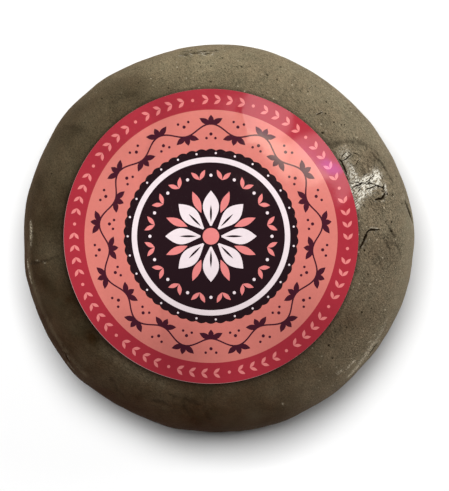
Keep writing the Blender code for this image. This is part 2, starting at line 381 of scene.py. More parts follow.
PITS = (
    pit(17.8, 61.3), pit(21.6, 59.6, 0.34), pit(30.4, 55.5, 0.28), pit(33.1, 55.2, 0.34),
    pit(-7.5, 66.0, 0.36), pit(-3.3, 64.5, 0.32), pit(8.2, 64.5, 0.38), pit(6.7, 64.5, 0.28),
    pit(1.1, 67.9, 0.3), pit(-3.2, 58.6, 0.32), pit(11.6, 64.6, 0.25), pit(40.1, 51.3, 0.35),
    pit(31.6, 62.6, 0.3), pit(38.5, 39.4, 0.45), pit(31.6, 43.0, 0.35), pit(53.8, 12.6, 0.3),
    pit(65.3, 16.4, 0.38), pit(68.8, 13.2, 0.4), pit(64.7, 2.6, 0.45), pit(54.2, -4.6),
    pit(55.6, -13.4, 0.35), pit(53.2, -27.6, 0.4), pit(56.9, -26.2, 0.32), pit(40.9, -40.0, 0.45),
    pit(42.3, -44.9, 0.34), pit(47.6, -33.4, 0.32), pit(54.4, 24.0, 0.3), pit(52.8, 30.7, 0.22),
    pit(-44.2, 52.6, 0.28), pit(-30.6, 58.4, 0.28), pit(-19.2, 56.2, 0.28), pit(-63.2, 24.4, 0.3),
)


PIT_HEIGHTS, PIT_HALF_WIDTHS, PIT_DEPTHS = (7, 24), (0.25, 0.6), (0.3, 0.7)  # millimetres
PIT_LEAN, PIT_DROP = 0.6, 0.3  # degrees to a side, and millimetres down, to a pit's other end


def scattered_pits(count, seed=5):
    """Small pits low on the sides, all the way round."""
    chance = random.Random(seed)
    pits = []
    for _ in range(count):
        at, height = chance.uniform(0, 360), chance.uniform(*PIT_HEIGHTS)
        end = (at + chance.uniform(-PIT_LEAN, PIT_LEAN), height - PIT_DROP)
        route = from_side((at, height), end)
        half_width = chance.uniform(*PIT_HALF_WIDTHS) / THIN_END
        pits.append(crack(route, half_width, chance.uniform(*PIT_DEPTHS), lip=0))
    return tuple(pits)


LONG_CRACKS = HOOK + FLAKE + NET + BROW + FAR_EDGE + SMALL_CRACKS
CRACKS = LONG_CRACKS + PITS + scattered_pits(44)
print(len(LONG_CRACKS), "cracks and", len(CRACKS) - len(LONG_CRACKS), "pits")

# %% The creases
CREASES = (
    crease(
        from_above((57.6, 32.0), (59.4, 30.2), (61.0, 28.7), (62.1, 26.8), (63.2, 25.3)),
        0.65, 0.62,
    ),
    crease(from_above((58.3, 33.1), (59.9, 31.5), (61.4, 29.8)), 0.5, 0.4),
    crease(from_above((63.7, 23.9), (64.8, 22.2), (65.9, 20.5)), 0.5, 0.5),
    crease(
        from_above((39.8, 35.6), (42.2, 35.1), (45.8, 35.8), (52.2, 36.2), (56.4, 34.4)),
        1.3, 0.3,
    ),
    crease(from_above((42.4, 34.1), (44.2, 34.5)), 0.5, 0.4),
    crease(from_above((57.7, 17.0), (59.3, 17.2)), 0.4, 0.34),
    crease(from_above((56.2, 22.7), (54.0, 25.8), (52.3, 28.8)), 0.5, 0.26),
    crease(from_above((57.0, 23.4), (56.0, 26.4), (55.5, 29.6)), 0.5, 0.24),
    crease(from_above((58.0, 24.3), (58.4, 26.6), (58.3, 29.2)), 0.5, 0.26),
    crease(from_above((47.9, 26.4), (49.6, 24.0), (50.8, 21.2)), 0.45, 0.24),
    crease(from_above((49.6, 28.2), (51.2, 25.0), (52.6, 21.8)), 0.45, 0.24),
    crease(from_above((53.4, 27.4), (54.2, 24.4), (55.2, 21.8)), 0.4, 0.2),
    crease(from_above((51.0, 16.4), (53.4, 15.6), (55.4, 14.2)), 0.4, 0.12),
    crease(from_above((56.8, 16.8), (58.8, 16.4), (60.4, 16.9)), 0.5, 0.2),
    crease(from_above((63.6, 4.2), (65.0, 2.2), (66.4, 0.4)), 0.8, 0.46),
    crease(from_above((63.0, 0.2), (64.4, -1.4), (65.6, -2.4)), 0.7, 0.3),
    crease(from_above((61.0, 0.6), (62.6, -1.6), (64.4, -4.6)), 0.8, 0.3),
    crease(from_above((66.0, -1.6), (67.6, -4.0), (68.6, -7.2)), 0.8, 0.28),
    crease(from_above((58.6, -5.2), (60.2, -8.2), (61.0, -11.6)), 0.8, 0.2),
    crease(
        from_above((-71.8, -9.8), (-70.0, -9.3), (-66.4, -8.9), (-63.6, -8.0), (-60.2, -6.8)),
        0.8, 0.34,
    ),
    crease(from_above((-26.1, -60.9), (-21.4, -61.6), (-18.5, -63.2)), 1.2, 0.24),
    crease(from_above((-18.5, -58.8), (-12.0, -60.6), (-7.3, -62.6)), 1.3, 0.22),
    crease(from_above((-13.8, -59.8), (-13.2, -63.4), (-11.2, -66.6)), 1.1, 0.22),
    crease(from_above((-5.6, -60.2), (-5.2, -64.4), (-3.4, -68.8)), 1.2, 0.18),
    crease(from_above((-40.6, -52.6), (-39.0, -56.2), (-36.2, -59.4)), 1.4, 0.22),
    crease(from_above((-40.6, 50.6), (-36.4, 53.4), (-31.2, 54.4)), 1.8, 0.2),
    crease(from_above((-58.6, 42.2), (-53.4, 41.6), (-49.6, 38.6)), 1.8, 0.16),
    crease(from_above((-15.0, 69.6), (-7.6, 70.4), (-0.6, 70.8)), 1.6, 0.18),
    crease(from_side((18, 22), (26, 24), (36, 22), (44, 24)), 1.6, 0.4),
    crease(from_side((98, 15), (108, 17), (120, 16)), 1.8, 0.4),
    crease(from_side((186, 22), (196, 20), (207, 22)), 1.6, 0.4),
    crease(from_side((262, 14), (272, 16), (284, 14)), 1.8, 0.4),
    crease(from_side((335, 18), (344, 16), (352, 17)), 1.5, 0.35),
)
SCUFFS = (  # their depth only says how pale they are
    crease(from_above((63.0, -31.2), (60.6, -36.4), (57.8, -40.8)), 1.6, 0.2),
    crease(from_above((58.0, -39.8), (56.0, -43.2), (53.4, -46.8)), 1.8, 0.38),
    crease(from_above((54.2, -45.9), (51.4, -49.6), (48.8, -52.2)), 1.3, 0.9),
    crease(from_above((50.8, -46.2), (49.9, -46.9)), 1.1, 0.8),
    crease(from_above((49.2, -47.6), (48.2, -49.0)), 1.3, 0.34),
    crease(from_above((59.9, -37.4), (59.4, -38.2)), 0.7, 0.35),
    crease(from_above((58.5, -36.3), (58.7, -36.6)), 0.5, 0.35),
    crease(from_above((57.3, -38.6), (55.8, -39.2)), 0.8, 0.25),
    crease(from_above((46.2, -49.6), (44.4, -50.8)), 1.3, 0.26),
    crease(from_above((-71.2, 6.2), (-70.9, 2.0), (-71.1, -2.6)), 1.2, 0.3),
    crease(from_above((-72.6, -8.2), (-72.0, -12.4), (-70.9, -17.0)), 0.9, 0.36),
    crease(from_above((-66.2, -8.9), (-65.2, -9.3)), 0.6, 0.3),
    crease(from_above((-69.0, -8.2), (-67.8, -8.5)), 0.5, 0.2),
    crease(from_above((65.4, 15.8), (65.9, 15.2)), 0.6, 0.3),
    crease(from_above((58.2, 3.4), (59.4, 3.7)), 0.5, 0.3),
    crease(from_above((23.8, -61.6), (23.9, -62.6)), 0.5, 0.25),
    crease(from_above((-57.4, -47.2), (-55.2, -49.6)), 0.7, 0.2),
)
RUBS = (  # where the bloom is a little thicker: their depth only says how much
    crease(from_above((-72.3, -2.6), (-71.9, -9.4), (-70.2, -17.8), (-68.0, -24.0)), 2.2, 0.45),
    crease(from_above((-70.8, 7.0), (-70.9, -2.0)), 1.6, 0.14),
    crease(from_above((-68.4, -23.4), (-64.6, -31.8), (-58.6, -41.6), (-50.6, -51.2)), 1.8, 0.34),
    crease(from_above((-43.4, -41.6), (-36.5, -46.6), (-29.0, -51.0), (-21.0, -54.6)), 2.8, 0.26),
    crease(from_above((36.6, 60.0), (42.6, 54.6), (47.4, 49.0)), 2.6, 0.2),
    crease(from_above((60.6, -35.0), (54.0, -46.6), (46.6, -53.4)), 3.4, 0.2),
    crease(from_side((150, 12), (160, 10), (168, 11)), 1.8, 0.3),
    crease(from_side((40, 12), (52, 10), (60, 12)), 1.8, 0.3),
)
print(len(CREASES), "creases,", len(SCUFFS), "scuffs and", len(RUBS), "rubs")

# %% [markdown]
# ## Laying out the skin
#
# The sheet starts flat, as a grid of azimuth against turn. One grid fine enough for a crack would
# have millions of faces. So the grid is coarse where the rind is plain, and the faces near a line
# are halved, again and again, closer and closer to it. The dried patch is cut finer as a whole.

# %% Lay out the sheet and cut it finer where it cracks
COLUMNS, ROWS = 470, 72
FIRST_TURN, LAST_TURN = 9.0, 156.0  # degrees: from under the label to the edge of the foot
ROWS_GATHERED = 0.22  # how much closer the rows lie on the shoulder than low on the side
PATCH_MIDDLE = from_above((55.2, 22.6))[0]
Cut = namedtuple("Cut", "lines reach patch_reach")
CUTS = (  # each halves the faces this near to a line, or to the middle of the patch
    Cut(CRACKS + CREASES + SCUFFS, 0.9 * MM, 13 * MM),
    Cut(CRACKS, 0.5 * MM, 10 * MM),
    Cut(LONG_CRACKS, 0.25 * MM, 0.0),
)


def row_turns():
    """Turns of the rows in degrees, closer together on the shoulder than low on the side."""
    share = np.linspace(0, 1, ROWS + 1)
    share -= ROWS_GATHERED * np.sin(np.pi * share) / np.pi * 2
    return FIRST_TURN + (LAST_TURN - FIRST_TURN) * share


def flat_sheet():
    sheet = bmesh.new()
    azimuths = np.linspace(-180, 180, COLUMNS + 1)
    rows = [[sheet.verts.new((a, t, 0)) for a in azimuths] for t in row_turns()]
    for upper, lower in zip(rows, rows[1:]):
        for column in range(COLUMNS):
            corners = (upper[column], lower[column], lower[column + 1], upper[column + 1])
            sheet.faces.new(corners)
    return sheet


def halve(sheet, cut):
    middles = np.radians([face.calc_center_median().xy for face in sheet.faces])
    points = skin_points(middles[:, 0], middles[:, 1])
    chosen = np.linalg.norm(points - PATCH_MIDDLE, axis=1) < cut.patch_reach
    for line in cut.lines:
        chosen |= distance_to_route(points, line.route) < cut.reach + line.half_width
    edges = {edge for face, here in zip(sheet.faces, chosen) if here for edge in face.edges}
    bmesh.ops.subdivide_edges(sheet, edges=list(edges), cuts=1, use_grid_fill=True)


sheet = flat_sheet()
for cut in CUTS:
    halve(sheet, cut)
    print("sheet", len(sheet.faces), "faces")
places = np.radians([vert.co.xy for vert in sheet.verts])
azimuth, turn = places[:, 0], places[:, 1]
smooth = skin_points(azimuth, turn)

# %% [markdown]
# Round the label the rind rises to meet the paper, closely at the upper right and with a small gap
# at the lower left, where the edge has lifted. The change is worked out at the label's edge and
# dies away within a few millimetres.

# %% Let the rind meet the paper
GAP_TIGHT, GAP_LIFTED = 0.05 * MM, 0.32 * MM
LIFTED_SIDE = 235  # degrees: the azimuth where the paper's edge stands away
LIFTED_SPREAD = (0.1, 1.0)  # cosines of the angle from that side, from no lift to all of it
LIFTED_FROM = 0.7  # share of the label's radius where the lift starts
MEETING_WIDTH = 7 * MM

from_label = smooth[:, :2] - np.array(label_middle.xy)
label_distance = np.linalg.norm(from_label, axis=1)
on_top = smooth[:, 2] > RING_HEIGHT


def paper_back(x, y):
    """Height of the rind under the paper, for places in metres from the label's middle."""
    toward = np.cos(np.arctan2(y, x) - math.radians(LIFTED_SIDE))
    outward = soft_step(LIFTED_FROM, 1.0, np.hypot(x, y) / label_radius)
    lifted = soft_step(*LIFTED_SPREAD, toward) * outward
    gap = GAP_TIGHT + (GAP_LIFTED - GAP_TIGHT) * lifted
    return paper_height(x, y) - PAPER_THICKNESS - gap


def meeting_lift():
    """What to add to the skin's height so that it meets the paper."""
    scale = np.minimum(1, label_radius / label_distance)
    x, y = (from_label * scale[:, None]).T
    wanted = paper_back(x, y)
    here = skin_height(x + label_middle.x, y + label_middle.y)
    fade = 1 - soft_step(label_radius, label_radius + MEETING_WIDTH, label_distance)
    return np.where(on_top, (wanted - here) * fade, 0)


lift = meeting_lift()
print("the rind moves by", round(lift.min() / MM, 2), "to", round(lift.max() / MM, 2), "mm")

# %% [markdown]
# Every line adds to one height and to masks: the painted shade in the core of a crack, the pale
# torn skin beside it, and the painted shade of a crease. Scuffs and rubs use the crease's shade
# mask without its height. The masks travel with the mesh as attributes, so that the material can
# paint the shade of a crack exactly where the mesh is cut.

# %% Carve the lines
REACH = 4 * MM  # points further than this from a line aren't looked at
RAGGED, RAGGED_SIZE = 0.22 * MM, 1.2 * MM
DEEPEST = 1.0 * MM  # where cracks cross, they don't cut deeper than this together
CORE_EDGE = (0.5, 1.2)  # a crack is fully dark up to here, and not dark from there, in half widths
LIP_OFF, LIP_WIDTH, TORN_WIDTH = 1.8, 0.6, 0.55  # half widths
TORN_SIZE = 1.6 * MM  # the torn skin comes and goes over this length
FULL_LIP = 0.10 * MM  # a crack whose lip is as high as this has fully torn skin beside it
CREASE_EDGE = 1.3  # half widths
BROKEN_SIZE = 1.1 * MM  # the shade of a crease comes and goes over this length
SHADED_DEPTH = 0.32 * MM  # a crease as deep as this is fully shaded along its middle
MOST_SHADE = 2


def line_distances(points, line):
    """Numbers of the points near a line, and their distances to it in half widths."""
    middle = line.route.mean(axis=0)
    span = np.linalg.norm(line.route - middle, axis=1).max() + REACH
    near = np.flatnonzero(np.linalg.norm(points - middle, axis=1) < span)
    shaken = points[near].copy()
    for axis in range(3):
        shaken[:, axis] += RAGGED * noise_at(points[near], RAGGED_SIZE, 3, shift=7.0 + axis)
    to_end = np.linalg.norm(shaken[:, None] - line.route[[0, -1]], axis=2).min(axis=1)
    taper = THIN_END + (1 - THIN_END) * np.clip(to_end / TAPER_LENGTH, 0, 1)
    return near, distance_to_route(shaken, line.route) / (line.half_width * taper)


def carve_cracks(points):
    height, core, torn = np.zeros((3, len(points)))
    for line in CRACKS:
        near, off = line_distances(points, line)
        left = (1 + height[near] / DEEPEST).clip(0, 1)
        height[near] -= line.depth * np.clip(1 - off, 0, 1) * left
        height[near] += line.lip * np.exp(-(((off - LIP_OFF) / LIP_WIDTH) ** 2))
        core[near] = np.maximum(core[near], 1 - soft_step(*CORE_EDGE, off))
        beside = np.exp(-(((off - LIP_OFF) / TORN_WIDTH) ** 2)) * min(1, line.lip / FULL_LIP)
        beside *= soft_step(-0.1, 0.5, noise_at(points[near], TORN_SIZE, shift=29.0))
        torn[near] = np.maximum(torn[near], beside)
    return height, core, torn


def carve_creases(points, lines):
    height, shade = np.zeros((2, len(points)))
    for line in lines:
        near, off = line_distances(points, line)
        dip = 1 - soft_step(0, CREASE_EDGE, off)
        height[near] -= line.depth * dip
        broken = np.clip(0.8 + 0.8 * noise_at(points[near], BROKEN_SIZE, 3, shift=37.0), 0, 1)
        depth_share = min(MOST_SHADE, line.depth / SHADED_DEPTH)
        shade[near] = np.maximum(shade[near], dip * broken * depth_share)
    return height, shade


crack_height, crack_core, torn = carve_cracks(smooth)
crease_height, crease_shade = carve_creases(smooth, CREASES)
scuffed = carve_creases(smooth, SCUFFS)[1]
rubbed = carve_creases(smooth, RUBS)[1]
print("points in cracks", int((crack_core > 0).sum()))

# %% [markdown]
# ## The dried patch
#
# Where the rind has dried it sinks, crumples like foil and shines. Crumpling is made of small
# plates, each tilted its own way: a Voronoi pattern gives the plates, and a random slope for each
# gives the tilt. The dry skin is pale, and its glints are painted highlights, in streaks along the
# net of cracks and beside the label.

# %% Crumple, shine and painted highlights
PATCH_ALONG = np.array([-0.40, 0.91, 0.10])  # the way that the patch is longest
PATCH_HALF_LONG, PATCH_HALF_WIDE = 12.0 * MM, 7.4 * MM
PATCH_EDGE = (0.6, 1.2)  # shares of the half sizes, from all of it to none
PATCH_RAGGED, PATCH_RAGGED_SIZE = 0.25, 5 * MM
PLATE_SIZE, PLATE_TILT = 2.0 * MM, 0.20
FAINTEST_GLINT, BRIGHTEST_GLINT = 0.03, 1.7
GLINT_BREAKS = 1.2 * MM  # the painted highlight comes and goes over this length

Streak = namedtuple("Streak", "middle heading half_long half_wide strength")
# Painted highlights where the crumpled skin caught the light, on partly pale dry skin; they also
# set the coat.
GLINT_STREAKS = (  # middle in millimetres from above, heading in degrees, half sizes in millimetres
    Streak((55.2, 22.2), 18, 3.6, 1.0, 1.2),
    Streak((59.0, 23.2), 100, 2.2, 1.4, 1.0),
    Streak((57.3, 22.0), 20, 2.0, 1.1, 1.9),
    Streak((56.0, 19.4), 5, 3.0, 1.0, 1.6),
    Streak((51.6, 20.0), 30, 1.3, 0.8, 1.1),
    Streak((49.8, 17.6), 70, 1.5, 0.9, 0.8),
    Streak((59.4, 20.5), -10, 1.8, 0.7, 0.3),
    Streak((62.4, 18.4), 90, 1.6, 0.45, 1.0),
    Streak((47.4, 30.6), 50, 1.7, 1.0, 0.7),
    Streak((49.6, 25.5), -60, 2.8, 1.1, 0.5),
    Streak((50.3, 22.6), -40, 3.2, 1.4, 0.36),
    Streak((52.0, 14.2), 60, 4.2, 1.6, 0.52),
    Streak((53.4, 17.2), 0, 3.2, 1.3, 0.38),
    Streak((55.8, 17.2), 10, 2.8, 0.9, 0.24),
    Streak((46.0, 32.4), 40, 2.2, 1.4, 0.2),
    Streak((49.4, 19.8), 70, 1.8, 0.8, 0.5),
)


def patch_mask(points):
    away = points - PATCH_MIDDLE
    length = away @ PATCH_ALONG
    width = np.linalg.norm(away - length[:, None] * PATCH_ALONG, axis=1)
    reach = np.hypot(length / PATCH_HALF_LONG, width / PATCH_HALF_WIDE)
    reach += PATCH_RAGGED * noise_at(points, PATCH_RAGGED_SIZE, shift=3.0)
    return 1 - soft_step(*PATCH_EDGE, reach)


def plates(points, size, tilt):
    """Height of a crumpled surface: each Voronoi cell is a plane that leans its own way."""
    heights = []
    for point in points:
        middle = noise.voronoi(Vector(point) / size)[1][0]
        lean = noise.cell_vector(middle * 31.7) - Vector((0.5, 0.5, 0.5))
        heights.append((Vector(point) / size - middle).dot(lean))
    return np.array(heights) * size * tilt


def shine_and_highlight_mask(points):
    shine_and_painted_highlight = np.zeros(len(points))
    for streak in GLINT_STREAKS:
        away = points[:, :2] - from_above(streak.middle)[0][:2]
        at = math.radians(streak.heading)
        along = away @ (math.cos(at), math.sin(at)) / (streak.half_long * MM)
        across = away @ (-math.sin(at), math.cos(at)) / (streak.half_wide * MM)
        shine_and_painted_highlight += streak.strength * np.exp(-(along**2 + across**2)) * on_top
    near = np.flatnonzero(shine_and_painted_highlight > FAINTEST_GLINT)
    broken = noise_at(points[near], GLINT_BREAKS, octaves=3, shift=23.0)
    shine_and_painted_highlight[near] *= 0.6 + 0.6 * soft_step(-0.4, 0.4, broken)
    return np.clip(shine_and_painted_highlight, 0, BRIGHTEST_GLINT)


patch = patch_mask(smooth)
shine_and_painted_highlight = shine_and_highlight_mask(smooth)
print("points in the dried patch", int((patch > 0.5).sum()))

# %% [markdown]
# ## Lumps, puckers and bloom
#
# The rest of the rind is noise at two sizes: slow lumps from turning the cheese by hand, and
# puckers of a few millimetres. Grain is left to the material, because it is finer than any mesh
# here.

# %% The relief
LUMPS, LUMP_SIZE = 0.16 * MM, 9 * MM
PUCKERS, PUCKER_SIZE = 0.05 * MM, 2.6 * MM
LABEL_FADE = 2.4 * MM  # the relief grows from nothing over this width beside the label
FOOT_FADE_TURNS = (140, 154)  # degrees: the relief dies away towards the foot

show = np.where(on_top, soft_step(label_radius, label_radius + LABEL_FADE, label_distance), 1.0)
show *= 1 - soft_step(*FOOT_FADE_TURNS, np.degrees(turn))
relief = LUMPS * noise_at(smooth, LUMP_SIZE, shift=1.0)
relief += PUCKERS * noise_at(smooth, PUCKER_SIZE, shift=2.0)
crumpled = np.flatnonzero(patch > 0)
relief[crumpled] += patch[crumpled] * plates(smooth[crumpled], PLATE_SIZE, PLATE_TILT)
relief = show * (relief + crack_height + crease_height)
print("relief", round(relief.min() / MM, 2), "to", round(relief.max() / MM, 2), "mm")

# %% [markdown]
# The bloom isn't even either, and its share also carries painted light and shade. It is thick and
# pale on one side of the wheel and worn to the skin on the other: partly real wear, partly painted
# shade on the side turned from the light. Spots in between took more or less bloom, and some also
# paint light on the lit edge or shade beside the label. It is lighter round the belly, most on the
# right: partly thicker bloom, partly painted light where the light grazes the edge. It is thinner
# beside the label, where the rind stays damp, and that ring is partly painted shade. Each of these
# is one soft spot or ring, and they are simply added up: a sum of simple shapes is easy to change.

# %% The bloom's share, with painted light and shade
WORN_AND_SHADED_SIDE = 232  # degrees: the azimuth where the bloom is most worn and the painted shade deepest
DRIFT = 7.5  # share of bloom, and of painted light, gained per metre away from the worn and shaded side
# Partly the bloom's own tone, partly painted light on the lit right edge and painted shade on the
# left and beside the label.
TONE_LIGHT_AND_SHADE_SPOTS = (  # x and y from above and size in millimetres, and the change of the share
    ((-34.9, 55.8), 9, -0.42), ((-53.8, 45.1), 10, -0.25), ((-65.3, 13.9), 10, -0.17),
    ((-65.9, -14.0), 9, -0.12), ((14.5, -61.5), 9, -0.13), ((33.6, -53.4), 8, -0.11),
    ((54.2, -31.3), 8, -0.15), ((62.6, -9.6), 6, -0.18), ((65.6, 0.4), 4.6, -0.26),
    ((56.2, 28.6), 3.6, -0.14), ((63.6, 26.0), 4, -0.09), ((62.0, 40.0), 7, 0.10),
    ((57.2, -44.7), 8, 0.46), ((67.7, -27.4), 8, 0.40), ((72.6, -10.2), 8, 0.38),
    ((73.2, 3.0), 6, 0.34), ((40.0, -61.0), 8, 0.26), ((-40.2, -44.6), 6, 0.09),
    ((-27.0, -52.0), 6, 0.06), ((-20.0, -60.0), 5, 0.04), ((-4.0, 67.0), 6.5, 0.24),
    ((-22.0, 66.6), 7, 0.26), ((-38.0, 62.0), 6.5, 0.24), ((-52.0, -22.0), 6, -0.04),
    ((-33.0, -56.0), 6, 0.05), ((-36.5, -63.2), 8, -0.05), ((-19.0, -70.4), 10, -0.03),
    ((0.0, -73.0), 9, -0.04), ((-50.4, -49.6), 7, 0.07), ((-71.2, 19.0), 6, -0.03),
    ((-57.0, 32.0), 8, -0.04), ((-61.8, -4.2), 4.6, 0.19), ((-69.5, -19.0), 4, 0.12),
    ((-47.2, -37.0), 2.2, -0.13), ((49.0, -49.5), 3.5, 0.14), ((46.5, -37.0), 6, -0.12),
    ((58.6, 13.2), 3, -0.22), ((57.4, 31.6), 2.4, -0.26), ((34.0, -59.5), 7, 0.06),
    ((-13.0, -60.0), 6, -0.04), ((66.5, -20.0), 5, -0.06), ((-42.0, -41.0), 2.6, -0.10),
    ((28.0, 50.0), 5, -0.12), ((49.0, -29.0), 4, -0.12), ((60.5, 0.0), 3, 0.07),
    ((17.0, -70.0), 5, 0.05), ((20.0, 60.0), 6, -0.08), ((0.0, 59.5), 6, -0.08),
    ((-15.0, 58.0), 6, -0.06), ((-29.0, 50.0), 5, -0.07), ((-2.0, -57.5), 4.5, -0.03),
    ((15.0, 69.0), 6, 0.11), ((-14.0, -55.5), 4, -0.02), ((57.2, -2.0), 2.8, -0.12),
    ((63.6, 16.4), 3, -0.10), ((39.8, 56.4), 6, 0.08),
)
LEAST_BLOOM = 0.075
MOST_BLOOM_AND_LIGHT = 2.0  # the highest share: thick bloom, and painted light on the lit edge
RUB_BLOOM = 0.22  # gain along a rub
UNEVEN_BLOOM, UNEVEN_BLOOM_SIZE = 0.13, 11 * MM
UNEVEN_WORN = 0.3  # share of the unevenness that is left where there is no bloom
DAMP_AND_SHADE_RING, DAMP_AND_SHADE_RING_WIDTH = 0.22, 7.0 * MM  # loss of bloom beside the label, partly damp and partly painted shade
BELLY_BLOOM_AND_LIGHT, BELLY_LIT_SIDE = 0.42, 30  # gain round the belly, most at this azimuth in degrees: partly bloom, partly painted light
BELLY_LOSS = -0.12  # share of it that is lost on the other side, as painted shade
BELLY_TURN, BELLY_WIDTH = 86, 23  # degrees
LOW_BLOOM, LOW_TURNS = 0.07, (84, 108)  # gain below the belly, where hands don't rub


def soft_spots(points, spots):
    """The sum of soft round spots. Each has a place from above, a size and a change."""
    total = np.zeros(len(points))
    for place, size, change in spots:
        reach = np.linalg.norm(points - from_above(place)[0], axis=1) / (size * MM)
        total += change * np.exp(-0.5 * reach**2)
    return total


def toward_side(degrees, least=0.0):
    """1 on the side of the wheel at an azimuth, down to a least value on the side opposite."""
    return np.cos(azimuth - math.radians(degrees)).clip(least, 1)


def beside_label(width):
    """1 at the label's edge, dying away over a width."""
    return np.exp(-(((label_distance - label_radius) / width) ** 2)) * on_top


def bloom_and_painted_light_share(points):
    """0 where worn to the skin, 1 where whole, more where thick; painted light and shade move it.
    """
    worn = math.radians(WORN_AND_SHADED_SIDE)
    away = -(points[:, 0] * math.cos(worn) + points[:, 1] * math.sin(worn))
    share = np.clip(0.5 + away * DRIFT, 0, 1) * (1 - LEAST_BLOOM) + LEAST_BLOOM
    uneven = noise_at(points, UNEVEN_BLOOM_SIZE, octaves=3, shift=17.0)
    share += UNEVEN_BLOOM * uneven * (UNEVEN_WORN + (1 - UNEVEN_WORN) * share)
    share += RUB_BLOOM * rubbed + soft_spots(points, TONE_LIGHT_AND_SHADE_SPOTS)
    belly_ring = np.exp(-(((np.degrees(turn) - BELLY_TURN) / BELLY_WIDTH) ** 2))
    share += BELLY_BLOOM_AND_LIGHT * toward_side(BELLY_LIT_SIDE, BELLY_LOSS) * belly_ring
    share = np.clip(share * (1 - DAMP_AND_SHADE_RING * beside_label(DAMP_AND_SHADE_RING_WIDTH)), 0, MOST_BLOOM_AND_LIGHT)
    return share + LOW_BLOOM * soft_step(*LOW_TURNS, np.degrees(turn))


bloom_and_painted_light = bloom_and_painted_light_share(smooth)
print("bloom_and_painted_light", round(float(bloom_and_painted_light.min()), 2), "to", round(float(bloom_and_painted_light.max()), 2))

# %% [markdown]
# The colour drifts as well. Worn skin is olive high up and brown low down, and the bloom leans to
# ochre on the far side. Some places are calm, with hardly any grain, and others have more. Under
# the label's lifted edge the rind gets a painted shadow, added as one more shade of a crease.

# %% Calm, brown, ochre and the painted shadow under the label
CALM_SPOTS = (  # x and y from above, size in millimetres: 1 has little grain, below 0 has more
    ((71.8, -14.0), 7, 1.0), ((73.0, 4.0), 6, 1.0), ((66.0, 33.0), 7, 0.9),
    ((-66.0, -30.0), 12, 1.0), ((6.0, -70.0), 10, 1.0), ((61.0, -5.0), 9, -0.8),
    ((52.0, -36.0), 10, -0.8), ((60.0, 13.0), 6, -0.6),
)
BROWN_SIDE, BROWN_TURNS = 232, (35, 75)  # degrees
OLIVE_SIDE = 160  # degrees
BROWN_LEAN, BROWN_GAIN, OLIVE_GAIN = 0.4, 0.5, 0.35
UNEVEN_BROWN, UNEVEN_BROWN_SIZE = 0.35, 7 * MM
OCHRE_SIDE, OCHRE_LEAN = 130, 0.2  # degrees, and how far the bloom's colour goes to ochre there
GREY_LEAN = -0.3  # share of it that the opposite side goes the other way
# Painted shadow under the label's lifted edge, added to the crease shade.
LABEL_SHADOW, LABEL_SHADOW_WIDTH = 0.72, 3.4 * MM
LABEL_SHADOW_SPREAD = (-0.3, 0.7)  # cosines of the angle from the lifted side, from no painted shadow to all of it


def brown_mask(points):
    """0 where the worn skin is olive, as beside the label, and 1 where it is brown, as low down."""
    low = soft_step(*BROWN_TURNS, np.degrees(turn)) * toward_side(BROWN_SIDE)
    olive = toward_side(OLIVE_SIDE) * on_top
    uneven = noise_at(points, UNEVEN_BROWN_SIZE, octaves=3, shift=41.0)
    return np.clip(
        BROWN_LEAN + BROWN_GAIN * low - OLIVE_GAIN * olive + UNEVEN_BROWN * uneven, 0, 1
    )


calm = np.clip(soft_spots(smooth, CALM_SPOTS), -1, 1)
brown = brown_mask(smooth)
ochre = OCHRE_LEAN * toward_side(OCHRE_SIDE, GREY_LEAN)
lifted_edge = soft_step(*LABEL_SHADOW_SPREAD, toward_side(LIFTED_SIDE, -1))
label_shadow = LABEL_SHADOW * beside_label(LABEL_SHADOW_WIDTH) * lifted_edge
crease_shade = np.maximum(crease_shade, label_shadow)
print("points in the damp shade", int((label_shadow > LABEL_SHADOW / 2).sum()))

# %% [markdown]
# ## Wrapping the sheet
#
# The sheet is now wrapped: each point goes to its place on the skin. The seam is sewn, the rim
# under the label is drawn inwards ring by ring to close the top, and the foot is closed flat.

# %% Wrap, sew and close
TOP_RINGS = (0.85, 0.65, 0.45, 0.25)  # shares of the ring's radius
SEAM_REACH = 0.002 * MM
TORN_WORN = 0.3  # how bright torn skin is where there is no bloom
MASKS = {
    # painted shade in the core of cracks
    "crack": crack_core,
    "torn": torn * show * (TORN_WORN + (1 - TORN_WORN) * np.minimum(bloom_and_painted_light, 1)),
    # painted shade in creases and the painted shadow under the label's lifted edge
    "crease": crease_shade,
    "scuff": scuffed,
    "patch": patch,
    "shine_and_painted_highlight": shine_and_painted_highlight,
    "bloom_and_painted_light": bloom_and_painted_light,
    "calm": calm,
    "brown": brown,
    "ochre": ochre,
}


def wrap(sheet):
    lifted = smooth + directions(azimuth, turn) * relief[:, None]
    lifted[:, 2] = np.maximum(lifted[:, 2] + lift, 0)
    layers = {name: sheet.verts.layers.float.new(name) for name in MASKS}
    for number, vert in enumerate(sheet.verts):
        vert.co = lifted[number]
        for name, layer in layers.items():
            vert[layer] = MASKS[name][number]


def rim_edges(sheet, top):
    return [e for e in sheet.edges if e.is_boundary and (e.verts[0].co.z > RING_HEIGHT) == top]


def close_top(sheet):
    """Draws the rim in towards the middle, ring by ring, following the paper's back."""
    for share in TOP_RINGS:
        made = bmesh.ops.extrude_edge_only(sheet, edges=rim_edges(sheet, True))["geom"]
        ring = [item for item in made if isinstance(item, bmesh.types.BMVert)]
        flat = np.array([vert.co.xy for vert in ring]) - np.array(label_middle.xy)
        flat *= share * RING_RADIUS / np.linalg.norm(flat, axis=1)[:, None]
        heights = paper_back(flat[:, 0], flat[:, 1])
        for vert, (x, y), z in zip(ring, flat, heights):
            vert.co = (x + label_middle.x, y + label_middle.y, z)
    bmesh.ops.holes_fill(sheet, edges=rim_edges(sheet, True), sides=0)


